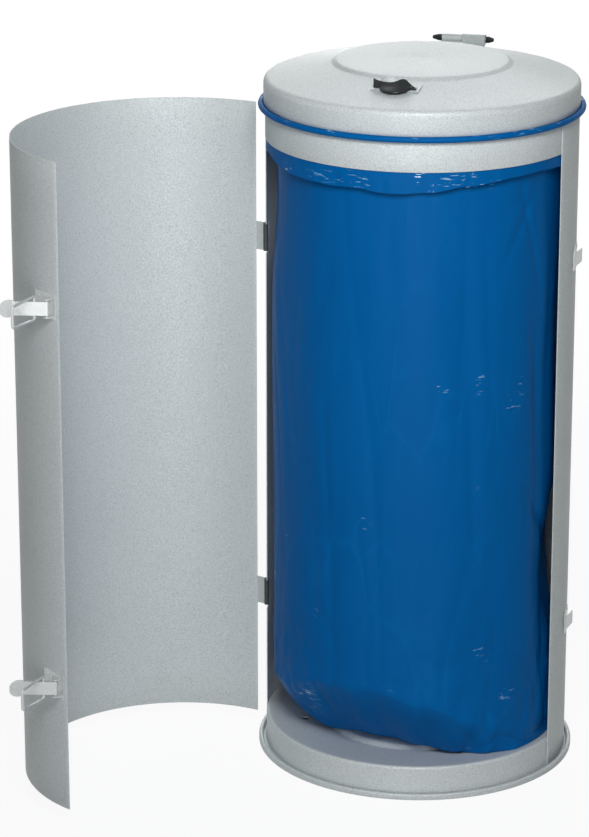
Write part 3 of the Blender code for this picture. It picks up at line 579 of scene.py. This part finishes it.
# %% Back shell
HINGE_Z = [sum(corner.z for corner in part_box("hinge_pin_" + side)) / 2 for side in ("upper", "lower")]
NOTCH = 21 * MM
OPEN_RIGHT, OPEN_LEFT, NOTCH_AT = 74.6, 279.1, 274.5
ROW_STEP = 0.05
TURN_STEP = 2
SHELL_R = BODY_R - 0.2 * MM
HAIR = 1e-6


def beside_hinge(low, high):
    """Whether a row of faces lies within a notch."""
    return any(z - NOTCH - HAIR <= low and high <= z + NOTCH + HAIR for z in HINGE_Z)


notch_rows = [z + side for z in HINGE_Z for side in (-NOTCH, NOTCH)]
heights = sorted({*SHELL_Z, *spread(0.05, 0.90, ROW_STEP), *notch_rows})
turns = spread(OPEN_RIGHT, NOTCH_AT, TURN_STEP) + spread(NOTCH_AT, OPEN_LEFT, TURN_STEP)[1:]
cut = {
    (i, j)
    for i, (low, high) in enumerate(zip(heights, heights[1:]))
    for j, first in enumerate(turns[:-1])
    if first >= NOTCH_AT - 0.01 and beside_hinge(low, high)
}
shell_rows = [[(*polar(SHELL_R, a), z) for a in turns] for z in heights]
shell_skin = grid("shell_skin", shell_rows, skip=cut)
dress(thicken(shell_skin, SHELL_T), STEEL, "cabinet", "steel_sheet", "back_shell")
print("shell_skin", len(shell_skin.data.polygons), "faces, left out for the notches", len(cut))

# %% [markdown]
# The collar is a band inside the shell's rim that closes the ring above the opening. The door is
# the same rolled sheet on the other side of the hinge, a little larger in radius, so that it
# closes over the shell.

# %% Collar and door
SHEET_GAP = 0.3 * MM
COLLAR_R = BODY_R - SHELL_T - SHEET_GAP
collar_skin = turned("collar_skin", [(COLLAR_R, z) for z in COLLAR_Z], ROUND)
dress(thicken(collar_skin, SHELL_T, 0.4 * MM), STEEL, "cabinet", "steel_sheet", "top_collar")

DOOR_R = BODY_R + 1.6 * MM
DOOR_T = 1.0 * MM
DOOR_EDGES = (-80.2, 87.4)
door_turns = spread(*DOOR_EDGES, TURN_STEP)
door_heights = spread(*DOOR_Z, ROW_STEP)
door_rows = [[DOOR_TURN @ Vector((*polar(DOOR_R, a), z)) for a in door_turns] for z in door_heights]
door_skin = grid("door_skin", door_rows)
dress(thicken(door_skin, DOOR_T), STEEL, "door", "steel_sheet", "door_panel")
print("collar and door faces", [len(o.data.polygons) for o in (collar_skin, door_skin)])

# %% [markdown]
# ## Small steel parts
# Hinges, latches, catches, rivets and pins keep their CAD meshes. Most get a small bevel that
# catches the light as a stamped or turned edge does, smooth faces where they are round, and the
# finish of its kind. The knuckles of the side hinges get a near black finish as painted shade. A
# table of name starts gives each node its finish, because the nodes come in families. The grip and
# the sack aren't in it, because new pieces stand for them further down.

# %% Finish table
# Start of the node's name, finish, bevel in millimetres.
LOOKS = (
    ("sack_ring", STEEL, 0),
    ("hinge_shell_leaf", FITTING, 0.25),
    ("hinge_door_leaf", FITTING, 0.25),
    ("hinge_pin", KNUCKLE_PAINTED_SHADE, 0.2),
    ("catch_", PLATED, 0.2),
    ("latch_base", PLATED, 0.2),
    ("latch_lever", PLATED, 0.2),
    ("latch_pin", PLATED, 0.3),
    ("latch_bail", PLATED, 0),
    ("lid_hinge_strap", FITTING, 0.3),
    ("lid_bracket", FITTING, 0.3),
    ("lid_grip_plate", STEEL, 0.25),
    ("lid_hinge_pin", PLATED, 0.2),
    ("lid_hinge_cap", BLACK, 0.3),
    ("grip_screw", PLATED, 0),
)


def finish_of(name):
    """The finish and bevel of a CAD node. Rivets match the sheet that they hold."""
    if "_rivet_" in name:
        return (FITTING if name.startswith(("hinge", "lid")) else PLATED), 0
    found = [(look, bevel) for start, look, bevel in LOOKS if name.startswith(start)]
    return found[0] if found else (PLATED, 0)


print("families of small parts", len(LOOKS))

# %% Finishes on the CAD nodes
KNUCKLE_REACH = 6 * MM
for name, made in NODES.items():
    if made.hide_render:
        continue
    look, bevel = finish_of(name)
    for slot in made.material_slots:
        slot.material = look
    # Painted shade: the leaf faces round the hinge pin take the near black knuckle finish.
    if "leaf" in name and "_rivet_" not in name:
        made.data.materials.append(KNUCKLE_PAINTED_SHADE)
        for face in made.data.polygons:
            away = made.matrix_world @ face.center - PIN
            if math.hypot(away.x, away.y) < KNUCKLE_REACH:
                face.material_index = len(made.data.materials) - 1
    made.data.polygons.foreach_set("use_smooth", [True] * len(made.data.polygons))
    made.data.set_sharp_from_angle(angle=math.radians(38))
    if bevel:
        ease = made.modifiers.new("stamped edge", "BEVEL")
        ease.width = bevel * MM
        ease.segments = 2
        ease.limit_method = "ANGLE"
        ease.angle_limit = math.radians(40)
print("finished CAD nodes", sum(not o.hide_render for o in NODES.values()))

# %% [markdown]
# ## Grip
# The grip is a glossy black moulding: a low wave whose crest dips at the left, rises to a hump and
# runs out to a thin tip at the right, with a rounded nose to pull at. It is lofted along its length
# in its own frame on the cone, from the CAD's crest heights read on a smooth curve.

# %% Grip frame and crest
CONE_SLOPE = math.atan2(CONE_TOP[1] - CONE_FOOT[1], CONE_FOOT[0] - CONE_TOP[0])
GRIP_R = 0.150
GRIP_SEAT = 1.6 * MM
grip_z = CONE_TOP[1] - (GRIP_R - CONE_TOP[0]) * math.tan(CONE_SLOPE)
grip_frame = Matrix.Translation((0, -GRIP_R, grip_z)) @ Matrix.Rotation(CONE_SLOPE, 4, "X")
# Place along the grip and height of its crest, in millimetres.
CREST = (
    (-29, 12.5),
    (-26, 11.0),
    (-21, 9.3),
    (-15, 8.2),
    (-8, 7.8),
    (-2, 8.6),
    (3, 10.6),
    (7, 12.6),
    (11, 13.6),
    (15, 12.6),
    (19, 8.8),
    (23, 5.0),
    (26, 2.8),
    (29, 1.6),
)


def smooth_table(rows, at):
    """A value between the rows, on a curve that keeps their slopes."""
    xs = [row[0] for row in rows]
    ys = [row[1] for row in rows]
    k = max(1, min(len(xs) - 1, next((i for i, x in enumerate(xs) if x >= at), len(xs) - 1)))
    width = xs[k] - xs[k - 1]
    t = (at - xs[k - 1]) / width

    def slope(i):
        before, after = max(i - 1, 0), min(i + 1, len(xs) - 1)
        return (ys[after] - ys[before]) / (xs[after] - xs[before])

    return (
        ys[k - 1] * (2 * t**3 - 3 * t**2 + 1)
        + ys[k] * (3 * t**2 - 2 * t**3)
        + slope(k - 1) * width * (t**3 - 2 * t**2 + t)
        + slope(k) * width * (t**3 - t**2)
    )


print("crest at the middle", round(smooth_table(CREST, 0), 2), "mm")

# %% Grip moulding
GRIP_HALF = 29
NOSE_HALF = 21
NOSE_DEPTH = 20.5
TIP_DEPTH = 3.2
sections = []
for x in spread(-GRIP_HALF, GRIP_HALF, 1.0):
    crest = smooth_table(CREST, x)
    nose = NOSE_DEPTH * math.sqrt(max(1 - (x / NOSE_HALF) ** 2, 0))
    depth = max(nose, TIP_DEPTH)
    lip = 1.8 + 1.6 * clamp((nose - 2) / 6)
    outline = [
        (2.4, 0),
        (2.4, crest * 0.8),
        (1.4, crest),
        (0.2, crest),
        (-0.35 * depth, 0.45 * crest + 0.55 * lip),
        (-0.75 * depth, 0.12 * crest + 0.95 * lip),
        (-depth + 0.6, lip),
        (-depth, lip * 0.55),
        (-depth + 0.5, 0),
    ]
    ring = [Vector((x * MM, p.x * MM, GRIP_SEAT + p.y * MM)) for p in eased(outline, 1.6, 3)]
    sections.append([grip_frame @ point for point in ring])
grip_moulding = grid("grip_moulding", sections, sharp=55)
shape = bmesh.new()
shape.from_mesh(grip_moulding.data)
open_edges = [e for e in shape.edges if e.is_boundary]
bmesh.ops.holes_fill(shape, edges=open_edges, sides=0)
bmesh.ops.recalc_face_normals(shape, faces=shape.faces[:])
shape.to_mesh(grip_moulding.data)
shape.free()
dress(grip_moulding, BLACK, "lid_assembly", "black_plastic", "lid_grip")
print("grip_moulding", len(grip_moulding.data.polygons), "faces")

# %% [markdown]
# ## Sack
# The sack is one blue polythene tube closed at the bottom. Its hem hangs outside the ring's skirt
# and shows below the collar, the film wraps the ring's bead, and the bag hangs inside and lies on
# the tray. A cloth simulation could drape it, but the film hangs taut and close to steel on both
# sides, so formulas place each fold and keep the clearances. The foot is drawn in most at the
# front, so a table says how far it stays inside the full bag.

# %% Sack sizes and foot
FILM_BEAD_R = 4.2 * MM
FILM_BEAD_AXIS_R = 0.2191
FILM_BEAD_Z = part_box("sack_ring")[1].z - 3.6 * MM
HEM_R = 0.2117
BAG_TOP_R = 0.2083
BAG_R = 0.2072
RING_SKIRT_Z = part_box("sack_ring")[0].z
FILM_LIFT = 0.9 * MM
# Azimuth, and how far the foot is drawn in there, in millimetres.
FOOT = (
    (-53.5, 68.7),
    (-29, 100.7),
    (-3, 106.2),
    (17.5, 84.2),
    (37.6, 50.2),
    (48, 21.2),
    (59, 5.2),
    (100, 6.2),
    (140, 9.2),
    (180, 17.2),
    (220, 32.2),
    (260, 49.2),
    (306.5, 68.7),
)


def soft_step(share):
    """From 0 to 1, flat at both ends."""
    return share * share * (3 - 2 * share)


def eased_table(rows, at):
    """A value between the rows, flat at each row."""
    for (a, low), (b, high) in zip(rows, rows[1:]):
        if a <= at <= b:
            return low + (high - low) * soft_step((at - a) / (b - a))
    return rows[-1][1]


def foot_radius(azimuth):
    start = FOOT[0][0]
    return BAG_R - eased_table(FOOT, (azimuth - start) % 360 + start) * MM


def film_floor(radius):
    """Height of the film where it lies on the tray."""
    slope = (FLOOR_HIGH[1] - FLOOR_LOW[1]) / (FLOOR_HIGH[0] - FLOOR_LOW[0])
    return max(DISC_Z, FLOOR_LOW[1] + slope * (radius - FLOOR_LOW[0])) + FILM_LIFT


print("foot radius at the front", round(foot_radius(0), 4), "and at the back", round(foot_radius(180), 4))

# %% [markdown]
# Hanging film has three kinds of folds: broad hollows where nothing fills it, straight creases
# from its packing, and crumpled lines that wander. The first two are listed in tables, because the
# eye remembers them. The last come from smooth noise: where it crosses zero there is a thin line,
# and a power makes that line crisp.

# %% Hollows, creases and ripples
# Broad hollows: azimuth, height, half width in degrees, half height, depth in millimetres.
DENTS = (
    (98, 0.29, 20, 0.085, 36),
    (100, 0.60, 24, 0.24, 9),
    (-70, 0.80, 13, 0.09, 8),
    (-66, 0.36, 12, 0.20, 5),
    (30, 0.60, 9, 0.25, 2.2),
)
# Sharp lines: azimuth at mid height, lean, lowest and highest point, half width, depth.
CREASES = (
    (66, -6, 0.22, 0.84, 5, 2.6),
    (78, 10, 0.12, 0.32, 7, 5.0),
    (74, -30, 0.28, 0.44, 6, 4.0),
    (41, -4, 0.50, 0.84, 3, 1.3),
    (30, 3, 0.42, 0.80, 2.5, 1.1),
    (-20, 8, 0.16, 0.50, 3, 1.0),
    (-8, -9, 0.18, 0.46, 2.5, 0.9),
    (-31, 10, 0.14, 0.40, 3, 1.1),
    (-52, -14, 0.38, 0.80, 4, 1.6),
    (56, 22, 0.74, 0.87, 3, 2.4),
    (61, -12, 0.70, 0.87, 2.5, 2.2),
    (50, 30, 0.78, 0.87, 2, 1.6),
)


def ripple(azimuth, height, seed, across, along):
    """Smooth noise over the sack, closed round it, from -1 to 1."""
    turn = math.radians(azimuth)
    x = across * math.cos(turn) + seed
    return noise.noise(Vector((x, across * math.sin(turn), along * height + 3.1 * seed)))


def dent(azimuth, height, at, middle, wide, tall, depth):
    across = (azimuth - at + 180) % 360 - 180
    return depth * MM * math.exp(-((across / wide) ** 2) - ((height - middle) / tall) ** 2)


def crease(azimuth, height, at, lean, low, high, wide, depth):
    """A folded line that fades out at both ends."""
    share = (height - low) / (high - low)
    if not 0 < share < 1:
        return 0
    across = abs((azimuth - at - lean * (share - 0.5) + 180) % 360 - 180)
    return depth * MM * max(0, 1 - across / wide) ** 1.3 * math.sin(math.pi * share)


def ridge(azimuth, height, seed, across, along):
    """Crisp lines where smooth noise crosses zero: 1 on the line, 0 away from it."""
    return 1 - min(1, 3.4 * abs(ripple(azimuth, height, seed, across, along)))


def crumple(azimuth, height):
    """Long tension folds down the bag, and short hard ones where the film gathers near the tray."""
    patch = clamp(0.5 + 1.6 * ripple(azimuth, height, 12.0, 1.6, 2.4))
    down = clamp((RING_SKIRT_Z - height) / 0.20)
    low = clamp((0.30 - height) / 0.22)
    long = 2.4 * MM * down * patch * ridge(azimuth + 18 * height, height, 11.0, 3.2, 1.1) ** 1.6
    leaning = 1.3 * MM * down * (1 - patch) * ridge(azimuth - 60 * height, height, 15.0, 3.6, 2.6) ** 1.6
    short = 3.0 * MM * low * ridge(azimuth, height, 14.0, 3.4, 13.0) ** 1.4
    tiny = 1.2 * MM * low * ridge(azimuth, height, 17.0, 8.0, 26.0) ** 1.3
    return long + leaning + short + tiny


print("hollows", len(DENTS), "creases", len(CREASES))

# %% [markdown]
# Everything that draws the film inwards is added up in one function of azimuth and height: slow
# waves that lean a little, the pleats and the neck just under the ring, the hollows, creases and
# crumples. Only the small pleats reach up to the ring's skirt. The rest fades out there.

# %% Radius of the hanging bag
# Broad waves: how many go round, phase in degrees, share.
WAVES = ((3, 40, 0.3), (5, 130, 0.3), (8, 15, 0.4))
WAVE_DEPTH = 6.5 * MM
WAVE_LEAN = 25


def fold(azimuth, height):
    """How far the film hangs in from the full bag."""
    down = clamp((RING_SKIRT_Z - height) / 0.25) ** 0.7
    lean = WAVE_LEAN * (height - 0.5)
    wave = sum(
        share * (0.5 + 0.5 * math.cos(math.radians(count * azimuth + phase + lean)))
        for count, phase, share in WAVES
    )
    dents = sum(dent(azimuth, height, *row) for row in DENTS)
    creases = sum(crease(azimuth, height, *row) for row in CREASES)
    gather = math.exp(-((height - 0.86) / 0.10) ** 2)
    pleats = 1.6 * MM * gather * (0.5 + 0.5 * ripple(azimuth, height * 0.2, 5.0, 11.0, 2.0))
    fine = 1.3 * MM * down * (0.5 + 0.5 * ripple(azimuth, height, 1.0, 6.0, 2.2))
    finest = 0.6 * MM * down * (0.5 + 0.5 * ripple(azimuth, height, 8.0, 16.0, 5.0))
    step = soft_step(clamp((RING_SKIRT_Z - height) / 0.03))
    neck = 4.5 * MM * step * clamp((height - 0.70) / 0.15)
    placed = neck + pleats + dents + creases
    return WAVE_DEPTH * down * wave * 0.9 + placed + fine + finest + crumple(azimuth, height)


def bag_radius(azimuth, height):
    share = clamp((RING_SKIRT_Z - height) / 0.06)
    return BAG_TOP_R + (BAG_R - BAG_TOP_R) * share - fold(azimuth, height)


print("bag radius at the front, half way up", round(bag_radius(0, 0.5), 4))

# %% [markdown]
# The hem is the first thing seen under the collar: it hangs lower at the front than at the sides,
# and flares a little where nothing presses it. One function then walks down a line of the sack,
# from the hem over the bead, down the wall, round the foot and to the middle of the tray.

# %% Hem and lines of the sack
# How far the hem hangs below the collar: azimuth, millimetres.
HEM_DROP = (
    (-90, 15),
    (-62, 15),
    (-40, 25),
    (-10, 27),
    (16, 28),
    (30, 19),
    (50, 15),
    (90, 16),
    (180, 24),
    (270, 15),
)
HEM_STEPS = 12
BEAD_STEPS = 9
BEAD_STEP_TURN = 30.5
WALL_STEPS = 110
FOOT_STEPS = 16
FOOT_CURVE = 1.6
FLOOR_STEPS = 10


def hem_bottom(azimuth):
    start = HEM_DROP[0][0]
    drop = eased_table(HEM_DROP, (azimuth - start) % 360 + start)
    return COLLAR_Z[0] - drop * MM + 3.5 * MM * ripple(azimuth, 0, 4.0, 4.0, 1.0)


def hem_line(azimuth):
    """Radius and height up the outside of the hem, to the underside of the bead."""
    top = FILM_BEAD_Z - FILM_BEAD_R
    line = []
    for z in spread(hem_bottom(azimuth), top, 6.5 * MM)[:HEM_STEPS]:
        loose = clamp((COLLAR_Z[0] - z) / 0.02)
        flare = 1.6 * MM * loose * (0.6 + 0.8 * ripple(azimuth, z, 2.0, 6.0, 5.0))
        dip = 1.3 * MM * loose * ridge(azimuth, z, 3.0, 9.0, 26.0)
        line.append((HEM_R + flare - dip, z))
    return line + [(HEM_R, top)] * (HEM_STEPS - len(line))


def bead_line():
    """Radius and height over the bead and down the inside of the ring."""
    turns = [math.radians(-90 + k * BEAD_STEP_TURN) for k in range(BEAD_STEPS)]
    over = [
        (FILM_BEAD_AXIS_R + FILM_BEAD_R * math.cos(t), FILM_BEAD_Z + FILM_BEAD_R * math.sin(t))
        for t in turns
    ]
    return over + [(BAG_TOP_R, 0.9325), (BAG_TOP_R, 0.915), (BAG_TOP_R, RING_SKIRT_Z)]


def sack_line(azimuth):
    """Radius and height down one line of the sack, from its hem to the middle of the tray."""
    line = hem_line(azimuth) + bead_line()
    foot = foot_radius(azimuth)
    floor = film_floor(foot)
    bend = floor + 0.9 * (BAG_R - foot) + 0.015
    for k in range(1, WALL_STEPS + 1):
        z = RING_SKIRT_Z + (bend - RING_SKIRT_Z) * k / WALL_STEPS
        line.append((bag_radius(azimuth, z), z))
    wall = bag_radius(azimuth, bend)
    for k in range(1, FOOT_STEPS):
        turn = k * math.pi / (2 * FOOT_STEPS)
        soft = 2.5 * ripple(azimuth, 0.02 * k, 6.0, 7.0, 3.0)
        crisp = 2.5 * ridge(azimuth, 0.01 * k, 19.0, 4.5, 10.0)
        buckle = (soft - crisp) * MM * math.sin(2 * turn)
        radius = foot + (wall - foot) * math.cos(turn) ** FOOT_CURVE + buckle
        line.append((radius, floor + (bend - floor) * (1 - math.sin(turn) ** FOOT_CURVE)))
    shares = [1 - k / FLOOR_STEPS for k in range(FLOOR_STEPS)]
    return line + [(foot * share, film_floor(foot * share)) for share in shares]


print("hem at the front ends at", round(hem_bottom(0), 4), "points in a line", len(sack_line(0)))

# %% [markdown]
# The lines become the columns of one closed grid, and a fan of triangles closes its middle on the
# tray. The finished film is measured: it may not have more area than the flat sack.

# %% Sack mesh
COLUMNS = 360
azimuths = [360 * k / COLUMNS for k in range(COLUMNS)]
lines = [sack_line(azimuth) for azimuth in azimuths]
rows = [
    [(*polar(line[i][0], azimuth), line[i][1]) for azimuth, line in zip(azimuths, lines)]
    for i in range(len(lines[0]))
]
sack_film = grid("sack_film", rows, wrap=True, sharp=120)
shape = bmesh.new()
shape.from_mesh(sack_film.data)
hub = shape.verts.new((0, 0, film_floor(0)))
shape.verts.ensure_lookup_table()
first = (len(rows) - 1) * COLUMNS
for k in range(COLUMNS):
    face = shape.faces.new((shape.verts[first + k], shape.verts[first + (k + 1) % COLUMNS], hub))
    face.smooth = True
bmesh.ops.recalc_face_normals(shape, faces=shape.faces[:])
shape.to_mesh(sack_film.data)
area = sum(f.calc_area() for f in shape.faces)
shape.free()
dress(sack_film, FILM, "cabinet", "film", "sack")
print("hem from", round(COLLAR_Z[0], 4), "ring skirt", round(RING_SKIRT_Z, 4))

# %% [markdown]
# ## Floor, light and camera
# A plain white studio. The floor is a grey plane that takes a soft shadow, and rays that see it
# as background also get a white glow. The glow is left out under the tray, so that the anchor
# holes look dark, and it grows far away, so that the floor's end melts into the white.

# %% Floor
FLOOR_REACH = 60
GLOW = 1.08
NEAR_FADE, NEAR_GLOW = (0.200, 0.218), 0.85
FAR_FADE, FAR_GLOW = (0.8, 3.5), 0.08
corners = [(x * FLOOR_REACH, y * FLOOR_REACH, 0) for x, y in ((-1, -1), (1, -1), (1, 1), (-1, 1))]
floor_mesh = bpy.data.meshes.new("floor")
floor_mesh.from_pydata(corners, [], [(0, 1, 2, 3)])
floor = bpy.data.objects.new("floor", floor_mesh)
bpy.context.scene.collection.objects.link(floor)
floor_look, shader, w = material("studio_floor", 0.9, 0.0)
shader.inputs["Base Color"].default_value = (0.42, 0.44, 0.44, 1)
glow = w.add("ShaderNodeEmission", Color=(1, 1, 1, 1), Strength=GLOW)
place = w.add("ShaderNodeTexCoord").outputs["Object"]
away = w.add("ShaderNodeVectorMath", {"operation": "LENGTH"}, Vector=place).outputs["Value"]
near = w.range(away, *NEAR_FADE, 0.0, NEAR_GLOW)
far = w.range(away, *FAR_FADE, 0.0, FAR_GLOW)
seen = w.math("MULTIPLY", w.background_rays(), w.math("ADD", near, far))
mix = w.add("ShaderNodeMixShader")
for socket, source in zip(mix.inputs, (seen, shader.outputs[0], glow.outputs[0])):
    w.join(source, socket)
w.join(mix.outputs[0], w.tree.nodes["Material Output"].inputs[0])
floor_mesh.materials.append(floor_look)
print("floor", 2 * FLOOR_REACH, "m wide, glow from", NEAR_FADE[0], "m")

# %% [markdown]
# The world is white where it is seen, and nearly black as a light, so that the lamps alone shape
# the steel.

# %% World
SEEN_WHITE = 1.0
SKY_LIGHT = 0.03
world = bpy.data.worlds.new("studio")
bpy.context.scene.world = world
world.use_nodes = True
w = Wires(world.node_tree)
w.tree.nodes.clear()
seen = w.add("ShaderNodeBackground", Color=(1, 1, 1, 1), Strength=SEEN_WHITE)
lit = w.add("ShaderNodeBackground", Color=(0.86, 0.97, 1, 1), Strength=SKY_LIGHT)
mix = w.add("ShaderNodeMixShader")
for socket, source in zip(mix.inputs, (w.background_rays(), lit.outputs[0], seen.outputs[0])):
    w.join(source, socket)
w.join(mix.outputs[0], w.add("ShaderNodeOutputWorld").inputs[0])
print("world", world.name, "with", len(w.tree.nodes), "nodes")

# %% [markdown]
# The key lamp stands in front of the bin, nearly 2 m up, and is turned towards the open door, so
# that the door's inside is brighter than its outside. Two weak fills light the sack and the tray,
# a lamp behind and above brightens the lid, and a back fill keeps the far side readable.


# %% Lamps
def lamp(name, place, target, size, power):
    light = bpy.data.lights.new(name, "AREA")
    light.shape = "RECTANGLE"
    light.size, light.size_y = size
    light.energy = power
    made = bpy.data.objects.new(name, light)
    made.location = place
    made.rotation_euler = (Vector(target) - Vector(place)).to_track_quat("-Z", "Y").to_euler()
    bpy.context.scene.collection.objects.link(made)


# Name, place, target, width and height of the panel in metres, power in watts.
LAMPS = (
    ("key", (0.4, -1.7, 1.9), (-0.3, 0.2, 0.85), (0.8, 0.6), 27),
    ("front fill", (0.8, -3.2, 1.0), (0, 0, 0.5), (1.0, 2.0), 7),
    ("low fill", (0.3, -2.4, 0.35), (0.1, 0, 0.1), (0.8, 0.5), 9),
    ("rim", (-0.2, 1.9, 2.5), (0, 0, 0.95), (2.0, 1.2), 22),
    ("back fill", (-1.1, 3.1, 1.3), (0, 0, 0.5), (1.2, 1.8), 14),
)
for row in LAMPS:
    lamp(*row)
print("lamps", len(LAMPS), "with", sum(row[-1] for row in LAMPS), "W in all")

# %% [markdown]
# The camera stands a little to the right of the front and looks down, from 4.6 m away with a long
# lens, as the picture's flat perspective shows. It is turned slightly to the left of the bin, to
# frame the open door as well.

# %% Camera
EYE_AWAY, EYE_HEIGHT, EYE_AZIMUTH = 4.6, 1.98, 13.6
EYE_DOWN, EYE_LEFT = 18.04, 2.16
LENS = 148.36
camera = bpy.data.objects.new("camera", bpy.data.cameras.new("camera"))
camera.data.lens = LENS
camera.location = (*polar(EYE_AWAY, EYE_AZIMUTH), EYE_HEIGHT)
camera.rotation_euler = (math.radians(90 - EYE_DOWN), 0, math.radians(EYE_AZIMUTH + EYE_LEFT))
bpy.context.scene.collection.objects.link(camera)
bpy.context.scene.camera = camera
bpy.context.scene.view_settings.view_transform = "Standard"
print("camera", tuple(round(x, 3) for x in camera.location), "lens", camera.data.lens)
